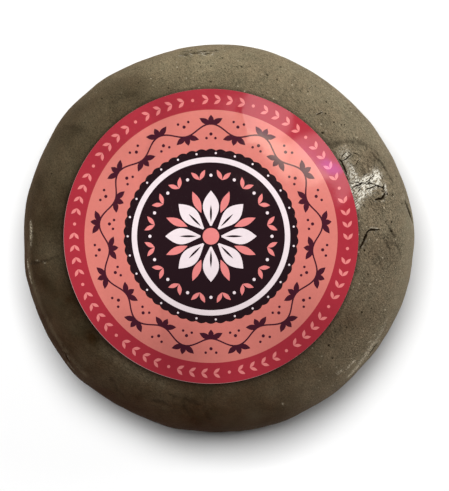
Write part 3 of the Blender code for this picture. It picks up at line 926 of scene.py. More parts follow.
wrap(sheet)
bmesh.ops.remove_doubles(sheet, verts=[v for v in sheet.verts if v.is_boundary], dist=SEAM_REACH)
close_top(sheet)
bmesh.ops.holes_fill(sheet, edges=rim_edges(sheet, False), sides=0)
bmesh.ops.triangulate(sheet, faces=[face for face in sheet.faces if len(face.verts) > 4])
bmesh.ops.recalc_face_normals(sheet, faces=sheet.faces)
open_left = sum(edge.is_boundary for edge in sheet.edges)
rind_mesh = bpy.data.meshes.new("rind")
sheet.to_mesh(rind_mesh)
sheet.free()
rind_mesh.shade_smooth()
rind = bpy.data.objects.new("rind", rind_mesh)
bpy.context.scene.collection.objects.link(rind)
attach(rind, "root")
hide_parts("cheese_wheel")
triangles = sum(len(face.vertices) - 2 for face in rind_mesh.polygons)
print("rind", triangles, "triangles,", open_left, "open edges")

# %% [markdown]
# ## Shader groups
#
# Two effects serve rind and paper alike. "Mottle" gives a slow mask and a fine one. "Grain" gives
# the height of small unevenness at two sizes. A group is built once and placed in each material
# with its own values.

# %% Helpers for node trees
def new_material(name):
    material = bpy.data.materials.new(name)
    material.use_nodes = True
    return material, material.node_tree, material.node_tree.nodes["Principled BSDF"]


def plug(tree, socket, value):
    """Links an output to a socket, or sets the socket to a plain value."""
    if isinstance(value, bpy.types.NodeSocket):
        tree.links.new(value, socket)
    else:
        socket.default_value = value


def calculate(tree, operation, *values):
    node = tree.nodes.new("ShaderNodeMath")
    node.operation = operation
    for socket, value in zip(node.inputs, values):
        plug(tree, socket, value)
    return node.outputs[0]


def remap(tree, value, from_low, from_high, to_low, to_high):
    node = tree.nodes.new("ShaderNodeMapRange")
    for socket, given in zip(node.inputs, (value, from_low, from_high, to_low, to_high)):
        plug(tree, socket, given)
    return node.outputs["Result"]


def mix_colour(tree, share, first, second):
    node = tree.nodes.new("ShaderNodeMix")
    node.data_type = "RGBA"
    node.clamp_factor = False
    for name, value in (("Factor_Float", share), ("A_Color", first), ("B_Color", second)):
        plug(tree, next(s for s in node.inputs if s.identifier == name), value)
    return next(s for s in node.outputs if s.identifier == "Result_Color")


def scale_colour(tree, colour, factor):
    node = tree.nodes.new("ShaderNodeVectorMath")
    node.operation = "SCALE"
    plug(tree, node.inputs["Vector"], colour)
    plug(tree, node.inputs["Scale"], factor)
    return node.outputs["Vector"]


def attribute(tree, name):
    node = tree.nodes.new("ShaderNodeAttribute")
    node.attribute_name = name
    return node.outputs["Fac"]


def texture_place(tree):
    return tree.nodes.new("ShaderNodeTexCoord").outputs["Object"]


def cloud(tree, place, size, detail, roughness):
    """Noise whose lumps are about as wide as size, in metres."""
    node = tree.nodes.new("ShaderNodeTexNoise")
    node.inputs["Detail"].default_value = detail
    node.inputs["Roughness"].default_value = roughness
    tree.links.new(place, node.inputs["Vector"])
    plug(tree, node.inputs["Scale"], calculate(tree, "DIVIDE", 1.0, size))
    return node.outputs["Fac"]


def new_group(name, inputs, outputs):
    """A shader group with float inputs {name: value} and float outputs, and its two end nodes."""
    group = bpy.data.node_groups.new(name, "ShaderNodeTree")
    for label, value in inputs.items():
        socket = group.interface.new_socket(label, in_out="INPUT", socket_type="NodeSocketFloat")
        socket.default_value = value
    for label in outputs:
        group.interface.new_socket(label, in_out="OUTPUT", socket_type="NodeSocketFloat")
    return group, group.nodes.new("NodeGroupInput"), group.nodes.new("NodeGroupOutput")


def place_group(tree, group, **values):
    node = tree.nodes.new("ShaderNodeGroup")
    node.node_tree = group
    for name, value in values.items():
        node.inputs[name.replace("_", " ")].default_value = value
    return node


# %% The two groups
def mottle_group():
    inputs = {"Slow size": 0.012, "Fine size": 0.001, "Slow contrast": 1.0, "Fine contrast": 1.0}
    group, given, result = new_group("mottle", inputs, ("Slow", "Fine"))
    place = texture_place(group)
    for kind, detail in (("Slow", 5.0), ("Fine", 3.0)):
        mask = cloud(group, place, given.outputs[kind + " size"], detail, 0.62)
        centred = calculate(group, "SUBTRACT", mask, 0.5)
        spread = calculate(group, "MULTIPLY", centred, given.outputs[kind + " contrast"])
        group.links.new(spread, result.inputs[kind])
    return group


def grain_group():
    inputs = {"Grain size": 0.0009, "Fibre size": 0.0004}
    group, given, result = new_group("grain", inputs, ("Height",))
    place = texture_place(group)
    grains = cloud(group, place, given.outputs["Grain size"], 3.0, 0.6)
    fibres = cloud(group, place, given.outputs["Fibre size"], 1.0, 0.5)
    half = calculate(group, "MULTIPLY", fibres, 0.5)
    group.links.new(calculate(group, "ADD", grains, half), result.inputs["Height"])
    return group


mottle = mottle_group()
grain = grain_group()
print("groups", mottle.name, "and", grain.name)

# %% [markdown]
# ## The rind's finish
#
# Mould on a goat cheese isn't one colour. Where it grew freely it is a pale khaki grey, in patches
# that lean to green or to rose, and to ochre on the far side. Where the wheel was handled or lay
# against its neighbours it is worn to the darker skin beneath. The bloom's share mixes the two; it
# also carries painted light on the lit side and painted shade on the side turned from the light.

# %% The colours, from worn skin to whole bloom
GREEN_BLOOM = (0.177, 0.148, 0.096, 1)
ROSY_BLOOM = (0.200, 0.150, 0.094, 1)
OCHRE_BLOOM = (0.190, 0.150, 0.070, 1)
OLIVE_SKIN = (0.0190, 0.0116, 0.0046, 1)
BROWN_SKIN = (0.0275, 0.0094, 0.0030, 1)
TINT_SPREAD = (-0.22, 0.22)  # the mottle between these goes from green to rose
ROSY_SPREAD = (0.22, 0.86)
THICK_BLOOM_TINT = -0.36  # a high share, from thick bloom and painted light, is greener


def skin_colour(tree, bloom_and_painted_light, spots, tints):
    tint = calculate(tree, "MULTIPLY_ADD", tints.outputs["Fine"], 0.5, tints.outputs["Slow"])
    rosy = remap(tree, tint, *TINT_SPREAD, *ROSY_SPREAD)
    rosy = calculate(tree, "MULTIPLY_ADD", bloom_and_painted_light, THICK_BLOOM_TINT, rosy)
    pale = mix_colour(tree, rosy, GREEN_BLOOM, ROSY_BLOOM)
    pale = mix_colour(tree, attribute(tree, "ochre"), pale, OCHRE_BLOOM)
    worn = mix_colour(tree, attribute(tree, "brown"), OLIVE_SKIN, BROWN_SKIN)
    share = calculate(tree, "ADD", bloom_and_painted_light, spots.outputs["Slow"])
    return mix_colour(tree, calculate(tree, "MAXIMUM", share, 0), worn, pale)


# %% [markdown]
# A fine speckle lies over both, made of grains and of short strokes. It is stronger where the bloom
# is thick and on the dried patch, and weak in the calm places. Creases and the strip beside the
# label get painted shade.

# %% Speckle and shade
STROKE_HEADING, STROKE_STRETCH, STROKE_SIZE = -50, 3.5, 0.4 * MM
STROKE_WEIGHT, TINT_WEIGHT = 0.6, 0.2  # beside the grains, which count as 1
WORN_SPECKLE, WHOLE_SPECKLE, WHOLE_FROM = 1.6, 2.5, 0.7  # strength on worn skin and on whole bloom
CALM_SPECKLE, ROUGH_SPECKLE, DRY_SPECKLE = 0.4, 1.6, 1.5  # what the strength is multiplied by
DARKEST_SPECKLE = 0.3
# Painted shade: in creases, under the label's lifted edge and beside the label's edge.
CREASE_DARK, EDGE_DARK = 0.42, 0.45  # what is left of the colour there
SHADED_EDGE = 1.6 * MM  # width of the painted shadow that the label's edge leaves on the rind


def brushed(tree, place, heading, stretch):
    """The same place, with what is laid on it drawn out along a heading in degrees."""
    node = tree.nodes.new("ShaderNodeMapping")
    node.vector_type = "TEXTURE"
    node.inputs["Rotation"].default_value = (0, 0, math.radians(heading))
    node.inputs["Scale"].default_value = (stretch, 1, 1)
    tree.links.new(place, node.inputs["Vector"])
    return node.outputs["Vector"]


def stroke_mask(tree, place):
    way = brushed(tree, place, STROKE_HEADING, STROKE_STRETCH)
    return calculate(tree, "SUBTRACT", cloud(tree, way, STROKE_SIZE, 2.0, 0.5), 0.5)


def calm_factor(tree):
    return remap(tree, attribute(tree, "calm"), -1, 1, ROUGH_SPECKLE, CALM_SPECKLE)


def speckle_factor(tree, bloom_and_painted_light, calm, spots, tints, strokes):
    """What the colour is multiplied by, about 1."""
    strength = remap(tree, bloom_and_painted_light, 0, WHOLE_FROM, WORN_SPECKLE, WHOLE_SPECKLE)
    strength = calculate(tree, "MULTIPLY", strength, calm)
    dry = remap(tree, attribute(tree, "patch"), 0, 1, 1, DRY_SPECKLE)
    strength = calculate(tree, "MULTIPLY", strength, dry)
    grainy = calculate(tree, "MULTIPLY", strokes, STROKE_WEIGHT)
    grainy = calculate(tree, "ADD", spots.outputs["Fine"], grainy)
    grainy = calculate(tree, "MULTIPLY_ADD", tints.outputs["Slow"], TINT_WEIGHT, grainy)
    speckle = calculate(tree, "MULTIPLY_ADD", grainy, strength, 1.0)
    return calculate(tree, "MAXIMUM", speckle, DARKEST_SPECKLE)


def label_shade(tree, place):
    """Painted shadow: darkens the rind close to the label's edge."""
    flat = tree.nodes.new("ShaderNodeVectorMath")
    flat.operation = "MULTIPLY"
    flat.inputs[1].default_value = (1, 1, 0)
    tree.links.new(place, flat.inputs[0])
    away = tree.nodes.new("ShaderNodeVectorMath")
    away.operation = "DISTANCE"
    tree.links.new(flat.outputs["Vector"], away.inputs[0])
    away.inputs[1].default_value = (label_middle.x, label_middle.y, 0)
    outer = label_radius + SHADED_EDGE
    return remap(tree, away.outputs["Value"], label_radius, outer, EDGE_DARK, 1)


def shade_factor(tree, place):
    crease_factor = remap(tree, attribute(tree, "crease"), 0, 1, 1, CREASE_DARK)
    return calculate(tree, "MULTIPLY", crease_factor, label_shade(tree, place))


# %% [markdown]
# Small marks come on top: scuffs with ragged edges, pale flecks, and pinholes of two sizes, which
# also dent the surface and take the painted shade of the cracks. A Voronoi pattern has one point in
# each of its cells. A dot round the point, in some of the cells only, makes a scatter that never
# clumps.

# %% Scuffs, flecks and pinholes
SCUFFED_SKIN = (0.54, 0.47, 0.35, 1)
PALE_FLECK = (0.42, 0.36, 0.26, 1)
SCUFF_EDGE = (-0.14, 0.10)  # the mask that frays a scuff, from nothing to whole
MARKED_BLOOM = (0.2, 0.8)  # flecks and pinholes come in as the bloom's share grows between these
FLECK_WEIGHT, SPECK_WEIGHT = 0.6, 0.7
WORN_HOLES, WHOLE_HOLES = 0.15, 0.85
Dots = namedtuple("Dots", "spacing radius share")
FLECKS = Dots(2.4 * MM, 0.4 * MM, 0.7)
HOLES = Dots(3.4 * MM, 0.45 * MM, 0.6)
SPECKS = Dots(1.3 * MM, 0.27 * MM, 0.5)
LEAST_DOT = 0.45  # share of the radius
DOT_EDGE = (0.7, 1.1)  # shares of the radius


def scattered(tree, place, dots):
    """Small round dots, one in some of the cells of a Voronoi pattern."""
    cells = tree.nodes.new("ShaderNodeTexVoronoi")
    cells.inputs["Scale"].default_value = 1 / dots.spacing
    tree.links.new(place, cells.inputs["Vector"])
    chance = tree.nodes.new("ShaderNodeSeparateColor")
    tree.links.new(cells.outputs["Color"], chance.inputs[0])
    here = calculate(tree, "GREATER_THAN", chance.outputs["Red"], 1 - dots.share)
    largest = dots.radius / dots.spacing
    size = remap(tree, chance.outputs["Green"], 0, 1, LEAST_DOT * largest, largest)
    off = calculate(tree, "DIVIDE", cells.outputs["Distance"], size)
    return calculate(tree, "MULTIPLY", remap(tree, off, *DOT_EDGE, 1, 0), here)


def add_scuffs(tree, colour, spots, strokes):
    ragged = calculate(tree, "ADD", strokes, spots.outputs["Fine"])
    frayed = remap(tree, ragged, *SCUFF_EDGE, 0, 1)
    scuff = calculate(tree, "MULTIPLY", attribute(tree, "scuff"), frayed)
    return mix_colour(tree, calculate(tree, "MINIMUM", scuff, 1), colour, SCUFFED_SKIN)


def add_flecks(tree, colour, place, bloom_and_painted_light, calm):
    flecks = scattered(tree, place, FLECKS)
    weight = remap(tree, bloom_and_painted_light, *MARKED_BLOOM, 0, FLECK_WEIGHT)
    flecks = calculate(tree, "MULTIPLY", calculate(tree, "MULTIPLY", flecks, weight), calm)
    return mix_colour(tree, flecks, colour, PALE_FLECK)


def hole_mask(tree, place, bloom_and_painted_light, calm):
    specks = calculate(tree, "MULTIPLY", scattered(tree, place, SPECKS), SPECK_WEIGHT)
    holes = calculate(tree, "MAXIMUM", scattered(tree, place, HOLES), specks)
    weight = remap(tree, bloom_and_painted_light, *MARKED_BLOOM, WORN_HOLES, WHOLE_HOLES)
    return calculate(tree, "MULTIPLY", calculate(tree, "MULTIPLY", holes, weight), calm)


# %% [markdown]
# Dry skin is pale and its glints are painted highlights, laid on in strokes; it also shines under
# a clear coat. Cracks and pinholes take the darkest colour, a painted shade, and have no coat.
# Mould has a short nap like velvet, so a little brownish sheen catches the light at the edges.
# Everything is now put together, from the skin up.

# %% The rind material
# Pale dry skin with its painted highlight, and the pale torn skin beside cracks.
PALE_SKIN_AND_HIGHLIGHT = (0.68, 0.64, 0.54, 1)
# The painted shade in cracks and pinholes.
CRACK_SHADE = (0.009, 0.006, 0.0025, 1)
GLINT_HEADING, GLINT_STRETCH, GLINT_SIZE = 40, 4.0, 0.45 * MM
GLINT_EDGE, GLINT_MOST = (0.40, 0.62), 1.95
TORN_WEIGHT, PATCH_SHINE = 0.3, 0.5
DULL, SHINY = 0.85, 0.3  # roughness
COAT_MOST, COAT_END = 0.85, 0.6  # the coat is gone where a crack's mask is above its end


def shine_and_highlight_share(tree, place):
    way = brushed(tree, place, GLINT_HEADING, GLINT_STRETCH)
    glints = remap(tree, cloud(tree, way, GLINT_SIZE, 2.0, 0.55), *GLINT_EDGE, 0, GLINT_MOST)
    return calculate(tree, "MULTIPLY", attribute(tree, "shine_and_painted_highlight"), glints)


def add_highlight_and_torn_skin(tree, colour, shine_and_painted_highlight, speckle):
    torn = calculate(tree, "MULTIPLY", attribute(tree, "torn"), TORN_WEIGHT)
    bright = calculate(tree, "MULTIPLY", calculate(tree, "MAXIMUM", shine_and_painted_highlight, torn), speckle)
    return mix_colour(tree, calculate(tree, "MINIMUM", bright, 1), colour, PALE_SKIN_AND_HIGHLIGHT)


def set_shine(tree, shader, shine_and_painted_highlight):
    patch = calculate(tree, "MULTIPLY", attribute(tree, "patch"), PATCH_SHINE)
    shine = calculate(tree, "MAXIMUM", shine_and_painted_highlight, patch)
    tree.links.new(remap(tree, shine, 0, 1, DULL, SHINY), shader.inputs["Roughness"])
    bare = remap(tree, attribute(tree, "crack"), 0, COAT_END, COAT_MOST, 0)
    coat = calculate(tree, "MULTIPLY", shine_and_painted_highlight, bare)
    tree.links.new(coat, shader.inputs["Coat Weight"])
    shader.inputs["Coat Roughness"].default_value = 0.25
    shader.inputs["Specular IOR Level"].default_value = 0.02
    shader.inputs["Sheen Weight"].default_value = 0.055
    shader.inputs["Sheen Roughness"].default_value = 0.42
    shader.inputs["Sheen Tint"].default_value = (1.0, 0.60, 0.38, 1)


def add_bump(tree, shader, height, strength, distance):
    bump = tree.nodes.new("ShaderNodeBump")
    bump.inputs["Strength"].default_value = strength
    bump.inputs["Distance"].default_value = distance
    tree.links.new(height, bump.inputs["Height"])
    tree.links.new(bump.outputs["Normal"], shader.inputs["Normal"])


def rind_material():
    material, tree, shader = new_material("bloomy rind")
    place = texture_place(tree)
    bloom_and_painted_light, calm = attribute(tree, "bloom_and_painted_light"), calm_factor(tree)
    spots = place_group(
        tree, mottle, Slow_size=0.014, Fine_size=0.00042, Slow_contrast=0.4, Fine_contrast=0.95
    )
    tints = place_group(tree, mottle, Slow_size=0.005, Fine_size=0.0016)
    strokes = stroke_mask(tree, place)
    speckle = speckle_factor(tree, bloom_and_painted_light, calm, spots, tints, strokes)
    shine_and_painted_highlight = shine_and_highlight_share(tree, place)
    holes = hole_mask(tree, place, bloom_and_painted_light, calm)

    colour = skin_colour(tree, bloom_and_painted_light, spots, tints)
    shaded = calculate(tree, "MULTIPLY", speckle, shade_factor(tree, place))
    colour = scale_colour(tree, colour, shaded)
    colour = add_scuffs(tree, colour, spots, strokes)
    colour = add_flecks(tree, colour, place, bloom_and_painted_light, calm)
    colour = add_highlight_and_torn_skin(tree, colour, shine_and_painted_highlight, speckle)
    dark = calculate(tree, "MAXIMUM", holes, attribute(tree, "crack"))
    colour = mix_colour(tree, dark, colour, CRACK_SHADE)
    tree.links.new(colour, shader.inputs["Base Color"])

    set_shine(tree, shader, shine_and_painted_highlight)
    grains = place_group(tree, grain, Grain_size=0.0009, Fibre_size=0.0005)
    height = calculate(tree, "SUBTRACT", grains.outputs["Height"], holes)
    add_bump(tree, shader, height, strength=0.8, distance=0.0004)
    return material


rind_mesh.materials.append(rind_material())
print("the rind has", len(rind_mesh.materials[0].node_tree.nodes), "nodes")

# %% [markdown]
# ## The label's print
#
# A printed label is a sheet of paper with fields of ink. Drawing it as flat polygons in painting
# order, and letting a constrained Delaunay triangulation cut the sheet along all their outlines,
# gives edges that stay sharp at any distance. Loose points in between let the sheet bend over the
# dome of the cheese. The print here is plain ornament: a garland, a winding stem and a blossom.

# %% Outlines to print with, in millimetres
Shape = namedtuple("Shape", "ink outline")
INKS = ("crimson", "salmon", "aubergine", "blush", "maroon", "rose", "paper")


def polar(radius, degrees):
    a = math.radians(degrees)
    return np.array([radius * math.cos(a), radius * math.sin(a)])


def circle(radius, count, middle=(0, 0)):
    turns = np.arange(count) * math.tau / count
    return radius * np.stack([np.cos(turns), np.sin(turns)], axis=-1) + middle


def scalloped(radius, depth, lobes, per_lobe=8):
    turns = np.arange(lobes * per_lobe) * math.tau / (lobes * per_lobe)
    reach = radius - depth * (1 - np.abs(np.sin(lobes * turns / 2)))
    return reach[:, None] * np.stack([np.cos(turns), np.sin(turns)], axis=-1)


def turned(points, degrees):
    a = math.radians(degrees)
    return points @ np.array([[math.cos(a), math.sin(a)], [-math.sin(a), math.cos(a)]])


def leaf(length, width, base, heading, steps=8, fullness=1.0):
    """A pointed leaf that starts at base and points along heading, in degrees."""
    share = np.linspace(0, 1, steps)
    half = width / 2 * np.sin(math.pi * share**fullness)
    upper = np.stack([share * length, half], axis=-1)
    lower = np.stack([share * length, -half], axis=-1)[-2:0:-1]
    return turned(np.concatenate([lower[::-1], upper[::-1]]), heading) + base


# %% The fields of colour
PAPER = label_radius / MM
CRIMSON_INNER = 47.2
DISC = 32.6
RING_OUTER, RING_INNER = 29.5, 27.5
BARE_EDGE, BARE_SIDE = 0.12, 228  # bare paper, in millimetres, widest at this azimuth


def trimmed(count=288):
    """The edge of the ink: the sheet was cut a hair off the middle of the print."""
    turns = np.arange(count) * math.tau / count
    bare = BARE_EDGE * np.cos(turns - math.radians(BARE_SIDE)).clip(0, 1)
    return (PAPER - 0.02 - bare)[:, None] * np.stack([np.cos(turns), np.sin(turns)], axis=-1)


def fields():
    return [
        Shape("paper", circle(PAPER, 288)),
        Shape("crimson", trimmed()),
        Shape("salmon", circle(CRIMSON_INNER, 264)),
        Shape("aubergine", scalloped(DISC, 0.6, 54)),
        Shape("blush", circle(RING_OUTER, 192)),
        Shape("aubergine", circle(RING_INNER, 192)),
    ]


# %% [markdown]
# Each ornament is a loop round the label: one motif, turned to its place.

# %% The ornaments
def border(count=70, radius=51.1, dot=0.6, length=3.0, width=1.2, spread=36):
    """Pairs of small leaves round the crimson ring, with a dot after every four."""
    shapes = []
    for number in range(count):
        at = 360 * number / count
        if number % 5 == 4:
            shapes.append(Shape("rose", circle(dot, 14, polar(radius, at))))
            continue
        for side in (-1, 1):
            root = polar(radius, at - 1.5)
            shapes.append(Shape("rose", leaf(length, width, root, at + 90 + side * spread)))
    return shapes


def stem(waves, radius, sway, half_width=0.33, steps_per_wave=18):
    """A stem that winds round the label, as a chain of short quads."""
    angles = np.arange(waves * steps_per_wave) * 360 / (waves * steps_per_wave)
    reach = radius + sway * np.sin(np.radians(angles * waves))
    inner = [polar(r - half_width, a) for r, a in zip(reach, angles)]
    outer = [polar(r + half_width, a) for r, a in zip(reach, angles)]
    quads = zip(inner, outer, outer[1:] + outer[:1], inner[1:] + inner[:1])
    return [Shape("maroon", np.array(quad)) for quad in quads]


def garland(waves=13, radius=40.0, sway=1.9, width=2.1, bud=0.62, berry=0.5):
    """The winding stem on the salmon ring, with three leaves and berries at each bend."""
    shapes = stem(waves, radius, sway)
    for number in range(waves * 2):
        bend = (number + 0.5) * 180 / waves
        side = 1 if number % 2 == 0 else -1
        outward = bend if side > 0 else bend + 180
        root = polar(radius + side * sway * 0.9, bend)
        for spread, length in ((-62, 4.9), (62, 4.9), (0, 3.6)):
            shapes.append(Shape("maroon", leaf(length, width, root, outward + spread)))
        shapes.append(Shape("maroon", circle(bud, 14, polar(radius - side * sway, bend))))
        for aside in (-2.6, 2.6):
            middle = polar(radius - side * 3.4, bend + aside)
            shapes.append(Shape("maroon", circle(berry, 12, middle)))
    return shapes


def blossom(petals=8):
    """A blossom in the middle of the dark disc, pale petals over rose ones."""
    shapes = []
    for number in range(petals):
        between = (number + 0.5) * 360 / petals
        shapes.append(Shape("rose", leaf(8.6, 2.8, polar(9.4, between), between)))
    for number in range(petals):
        at = number * 360 / petals
        shapes.append(Shape("blush", leaf(14.0, 6.0, polar(3.0, at), at, steps=14, fullness=1.25)))
        shapes.append(Shape("aubergine", leaf(6.6, 0.8, polar(5.2, at), at)))
    shapes.append(Shape("aubergine", circle(3.9, 36)))
    shapes.append(Shape("rose", circle(3.1, 32)))
    return shapes


def wreath(count=16, radius=21.3, length=4.3, width=1.6, beads=27, bead_ring=31.0):
    """Sprigs and beads between the blossom and the pale ring, and beads outside it."""
    shapes = []
    for number in range(count):
        at = (number + 0.5) * 360 / count
        for side in (-1, 1):
            shapes.append(Shape("rose", leaf(length, width, polar(radius, at), at + side * 38)))
        shapes.append(Shape("blush", circle(0.6, 12, polar(radius + 1.4, at + 180 / count))))
    for number in range(beads):
        middle = polar(bead_ring, (number + 0.5) * 360 / beads)
        shapes.append(Shape("blush", circle(0.4, 10, middle)))
    return shapes


print_shapes = fields() + border() + garland() + blossom() + wreath()
print(len(print_shapes), "printed shapes")

# %% [markdown]
# The triangulation says which outlines each small face lies in. The last of them in painting order
# is the ink on top. It fills an outline on its left, so all must run counter-clockwise.

# %% Cut the sheet along the print
SHEET_SPACING = 1.3


def loose_points():
    steps = np.arange(-PAPER, PAPER + SHEET_SPACING, SHEET_SPACING)
    x, y = np.meshgrid(steps, steps)
    x[::2] += SHEET_SPACING / 2
    inside = np.hypot(x, y) < PAPER - SHEET_SPACING / 2
    return np.stack([x[inside], y[inside]], axis=-1)


def counter_clockwise(outline):
    x, y = outline.T
    area = (x * np.roll(y, -1) - y * np.roll(x, -1)).sum()
    return outline if area > 0 else outline[::-1]


def cut_sheet(shapes):
    points, outlines = [], []
    for shape in shapes:
        outlines.append(list(range(len(points), len(points) + len(shape.outline))))
        points += [Vector(p) for p in counter_clockwise(shape.outline)]
    points += [Vector(p) for p in loose_points()]
    made = geometry.delaunay_2d_cdt(points, [], outlines, 1, 1e-4, True)
    flat, faces, owners = made[0], made[2], made[5]
    inks = [INKS.index(shapes[max(numbers)].ink) for numbers in owners]
    return np.array(flat) * MM, faces, inks


flat, print_faces, print_inks = cut_sheet(print_shapes)
print("print", len(print_faces), "faces")

# %% [markdown]
# The cut sheet is bent over the cheese and given a back and a cut edge. Its normals come from the
# paper's own formula instead of from the faces, so that the many small faces round the print leave
# no mark in the gloss.

# %% Bend the sheet and give it its thickness
def paper_normals(x, y, step=0.4 * MM):
    slope_x = (paper_height(x + step, y) - paper_height(x - step, y)) / (2 * step)
    slope_y = (paper_height(x, y + step) - paper_height(x, y - step)) / (2 * step)
    raw = np.stack([-slope_x, -slope_y, np.ones_like(x)], axis=-1)
    return raw / np.linalg.norm(raw, axis=1)[:, None]


def open_rim(faces):
    sides = {(a, b) for face in faces for a, b in zip(face, face[1:] + face[:1])}
    return [(a, b) for a, b in sides if (b, a) not in sides]


# Partly damp stains, partly painted shade where the paper's lower side turns from the light.
STAINS_AND_SHADE = (  # x and y from the label's middle, size in millimetres, loss of light
    ((-15, -46), 11, 0.21), ((0, -56), 30, 0.25), ((38, -36), 14, 0.20), ((-38, -36), 8, 0.12),
    ((-5, 52), 20, 0.12), ((-18, 48), 4, 0.10), ((-39, 33), 10, 0.12), ((-50, 12), 10, 0.05),
)
FOLD_SHADE, FOLD_SHADE_WIDTH = 0.10, 4.5 * MM


def paper_tone(x, y):
    """Loss of light by stains and painted shade, and by painted shade past each fold: 1 where none.
    """
    tone = np.ones_like(x)
    for middle, size, loss in STAINS_AND_SHADE:
        reach = np.hypot(x - middle[0] * MM, y - middle[1] * MM) / (size * MM)
        tone -= loss * np.exp(-0.5 * reach**2)
    flat = np.stack([x, y], axis=-1)
    for ends in FOLDS:
        upper, lower = np.array(ends) * MM
        down = (lower - upper) / np.linalg.norm(lower - upper)
        beyond = (flat - upper) @ (-down[1], down[0])
        off = distance_to_route(flat, np.array([upper, lower]))
        shaded = soft_step(-0.25 * MM, 0.25 * MM, beyond) * np.exp(-off / FOLD_SHADE_WIDTH)
        tone -= FOLD_SHADE * shaded
    return tone


def build_label():
    x, y = flat.T
    face = np.stack([x + label_middle.x, y + label_middle.y, paper_height(x, y)], axis=-1)
    normals = paper_normals(x, y)
    count = len(face)
    front = [list(corners) for corners in print_faces]
    back = [[corner + count for corner in reversed(corners)] for corners in front]
    edge = [[b, a, a + count, b + count] for a, b in open_rim(front)]
    mesh = bpy.data.meshes.new("label")
    points = np.concatenate([face, face - normals * PAPER_THICKNESS])
    mesh.from_pydata(points.tolist(), [], front + back + edge)
    bare = INKS.index("paper")
    mesh.polygons.foreach_set("material_index", print_inks + [bare] * (len(back) + len(edge)))
    mesh.shade_smooth()
    corners = [normals[v] for polygon in front for v in polygon]
    corners += [-normals[v - count] for polygon in back for v in polygon]
    corners += [p.normal for p in mesh.polygons[len(front) + len(back):] for _ in p.vertices]
    mesh.normals_split_custom_set(corners)
    tone = mesh.attributes.new("tone", "FLOAT", "POINT")
    tone.data.foreach_set("value", np.tile(paper_tone(x, y), 2))
    return mesh


label_mesh = build_label()
label = bpy.data.objects.new("label", label_mesh)
bpy.context.scene.collection.objects.link(label)
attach(label, "root")
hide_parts("paper_label")
print("label", len(label_mesh.polygons), "faces")

# %% [markdown]
# ## Ink and paper
#
# All inks lie under the same clear varnish, so each is the same glossy paper with its own colour.
# The colour isn't dead even: the press leaves a faint mottle, and the lower side of the label is
# darker, partly from damp taken up from the cheese and partly as painted shade where the paper
# turns from the light. Each fold has painted shade on its far side.

# %% Ink materials
INK_COLOURS = {
    "crimson": (0.350, 0.0250, 0.0395, 1),
    "salmon": (0.600, 0.177, 0.147, 1),
    "aubergine": (0.0160, 0.0062, 0.0088, 1),
    "blush": (0.746, 0.642, 0.664, 1),
    "maroon": (0.054, 0.0087, 0.019, 1),
    "rose": (0.69, 0.204, 0.195, 1),
    "paper": (0.42, 0.26, 0.25, 1),
}
VARNISH_ROUGHNESS = (0.05, 0.10)


def ink_material(name, colour):
    material, tree, shader = new_material(name + " ink")
    press = place_group(
        tree, mottle, Slow_size=0.03, Fine_size=0.0012, Slow_contrast=0.35, Fine_contrast=0.14
    )
    uneven = calculate(tree, "ADD", press.outputs["Slow"], press.outputs["Fine"])
    tone = calculate(tree, "MULTIPLY", calculate(tree, "ADD", uneven, 1.0), attribute(tree, "tone"))
    shaded = scale_colour(tree, colour[:3], tone)
    tree.links.new(shaded, shader.inputs["Base Color"])
    roughness = remap(tree, press.outputs["Slow"], -0.2, 0.2, *VARNISH_ROUGHNESS)
    tree.links.new(roughness, shader.inputs["Roughness"])
    fibres = place_group(tree, grain, Grain_size=0.0022, Fibre_size=0.0007)
    add_bump(tree, shader, fibres.outputs["Height"], strength=0.10, distance=0.00003)
    return material


for ink in INKS:
    label_mesh.materials.append(ink_material(ink, INK_COLOURS[ink]))
print(len(label_mesh.materials), "inks")

# %% [markdown]
# ## Floor and light
#
# The cheese lies on a plain pale floor under a large soft light that stands high, a little beyond
# the wheel, and throws the soft shadow towards the viewer. How high it stands sets how far the
# shadow reaches, and its size sets how soft the shadow is. A low one on the right picks out the
# edge and the dried patch. A weak even sky fills the shade.

# %% The floor
FLOOR_HALF, FLOOR_LEVEL = 3.0, -0.1 * MM
FLOOR_GREY = 0.845
CORNERS = ((-1, -1), (1, -1), (1, 1), (-1, 1))
floor_mesh = bpy.data.meshes.new("floor")
floor_corners = [(x * FLOOR_HALF, y * FLOOR_HALF, FLOOR_LEVEL) for x, y in CORNERS]
floor_mesh.from_pydata(floor_corners, [], [(0, 1, 2, 3)])
floor = bpy.data.objects.new("floor", floor_mesh)
bpy.context.scene.collection.objects.link(floor)
floor_material, _, floor_shader = new_material("pale floor")
floor_shader.inputs["Base Color"].default_value = (FLOOR_GREY, FLOOR_GREY, FLOOR_GREY, 1)
floor_shader.inputs["Roughness"].default_value = 0.9
floor_shader.inputs["Specular IOR Level"].default_value = 0.2
floor_mesh.materials.append(floor_material)
print("floor", 2 * FLOOR_HALF, "m across")


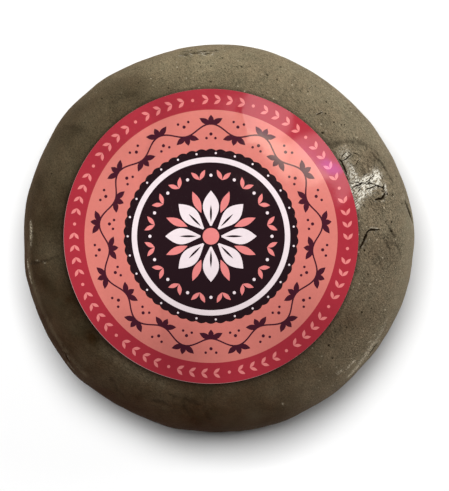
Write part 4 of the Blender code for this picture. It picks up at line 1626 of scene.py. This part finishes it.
# %% The lights
def soft_light(name, azimuth, elevation, size, watts, colour=(1, 1, 1), distance=1.3):
    """A flat light that looks at the cheese. Angles are in degrees, sizes in metres."""
    lamp = bpy.data.lights.new(name, "AREA")
    lamp.shape = "RECTANGLE"
    lamp.size, lamp.size_y = size
    lamp.energy = watts
    lamp.color = colour
    light = bpy.data.objects.new(name, lamp)
    level = math.cos(math.radians(elevation))
    way = Vector((
        level * math.cos(math.radians(azimuth)),
        level * math.sin(math.radians(azimuth)),
        math.sin(math.radians(elevation)),
    ))
    light.location = way * distance + UP * RING_HEIGHT
    light.rotation_euler = way.to_track_quat("Z", "Y").to_euler()
    bpy.context.scene.collection.objects.link(light)
    return light


key = soft_light("key", azimuth=101, elevation=75.3, size=(0.76, 0.6), watts=23.0)
key.visible_glossy = False
soft_light("side", azimuth=20, elevation=27, size=(0.35, 0.35), watts=2.6)
print("the key light stands", round(key.location.z, 2), "m high")

# %% [markdown]
# The label shows a window in its varnish: two panes with a bar between them, lower ones nearer to
# the middle, and a spot of violet where the glass scatters the light. Real panes would also light
# the cheese. These serve gloss alone, so that the shading and the reflection are set one by one.

# %% The window in the label's gloss
ROSE_LIGHT, PEACH_LIGHT, VIOLET_LIGHT = (1, 0.65, 0.68), (1, 0.8, 0.66), (0.35, 0.1, 1.0)
Pane = namedtuple("Pane", "name azimuth elevation size watts colour")
PANES = (
    Pane("left pane", 69.2, 69.6, (0.21, 0.12), 0.30, ROSE_LIGHT),
    Pane("right pane", 33.6, 69.6, (0.24, 0.12), 0.32, ROSE_LIGHT),
    Pane("low pane", 60, 74.1, (0.20, 0.080), 0.29, PEACH_LIGHT),
    Pane("low right pane", 36, 72.5, (0.11, 0.050), 0.075, PEACH_LIGHT),
    Pane("low corner", 54, 76.4, (0.09, 0.040), 0.04, PEACH_LIGHT),
    Pane("violet", 35.6, 69.8, (0.09, 0.06), 0.09, VIOLET_LIGHT),
)
for pane in PANES:
    soft_light(*pane).visible_diffuse = False
print(len(PANES), "panes of light")

# %% The sky
SKY_LIGHT, SKY_SEEN = 0.05, 0.85  # strength of the sky as a light, and as it shows behind the floor

world = bpy.data.worlds.new("sky")
world.use_nodes = True
seen = world.node_tree.nodes.new("ShaderNodeLightPath").outputs["Is Camera Ray"]
sky = world.node_tree.nodes["Background"]
sky.inputs["Color"].default_value = (1, 1, 1, 1)
strength = remap(world.node_tree, seen, 0, 1, SKY_LIGHT, SKY_SEEN)
plug(world.node_tree, sky.inputs["Strength"], strength)
bpy.context.scene.world = world
bpy.context.scene.view_settings.view_transform = "Standard"
print(len(bpy.data.lights), "lights and a sky")
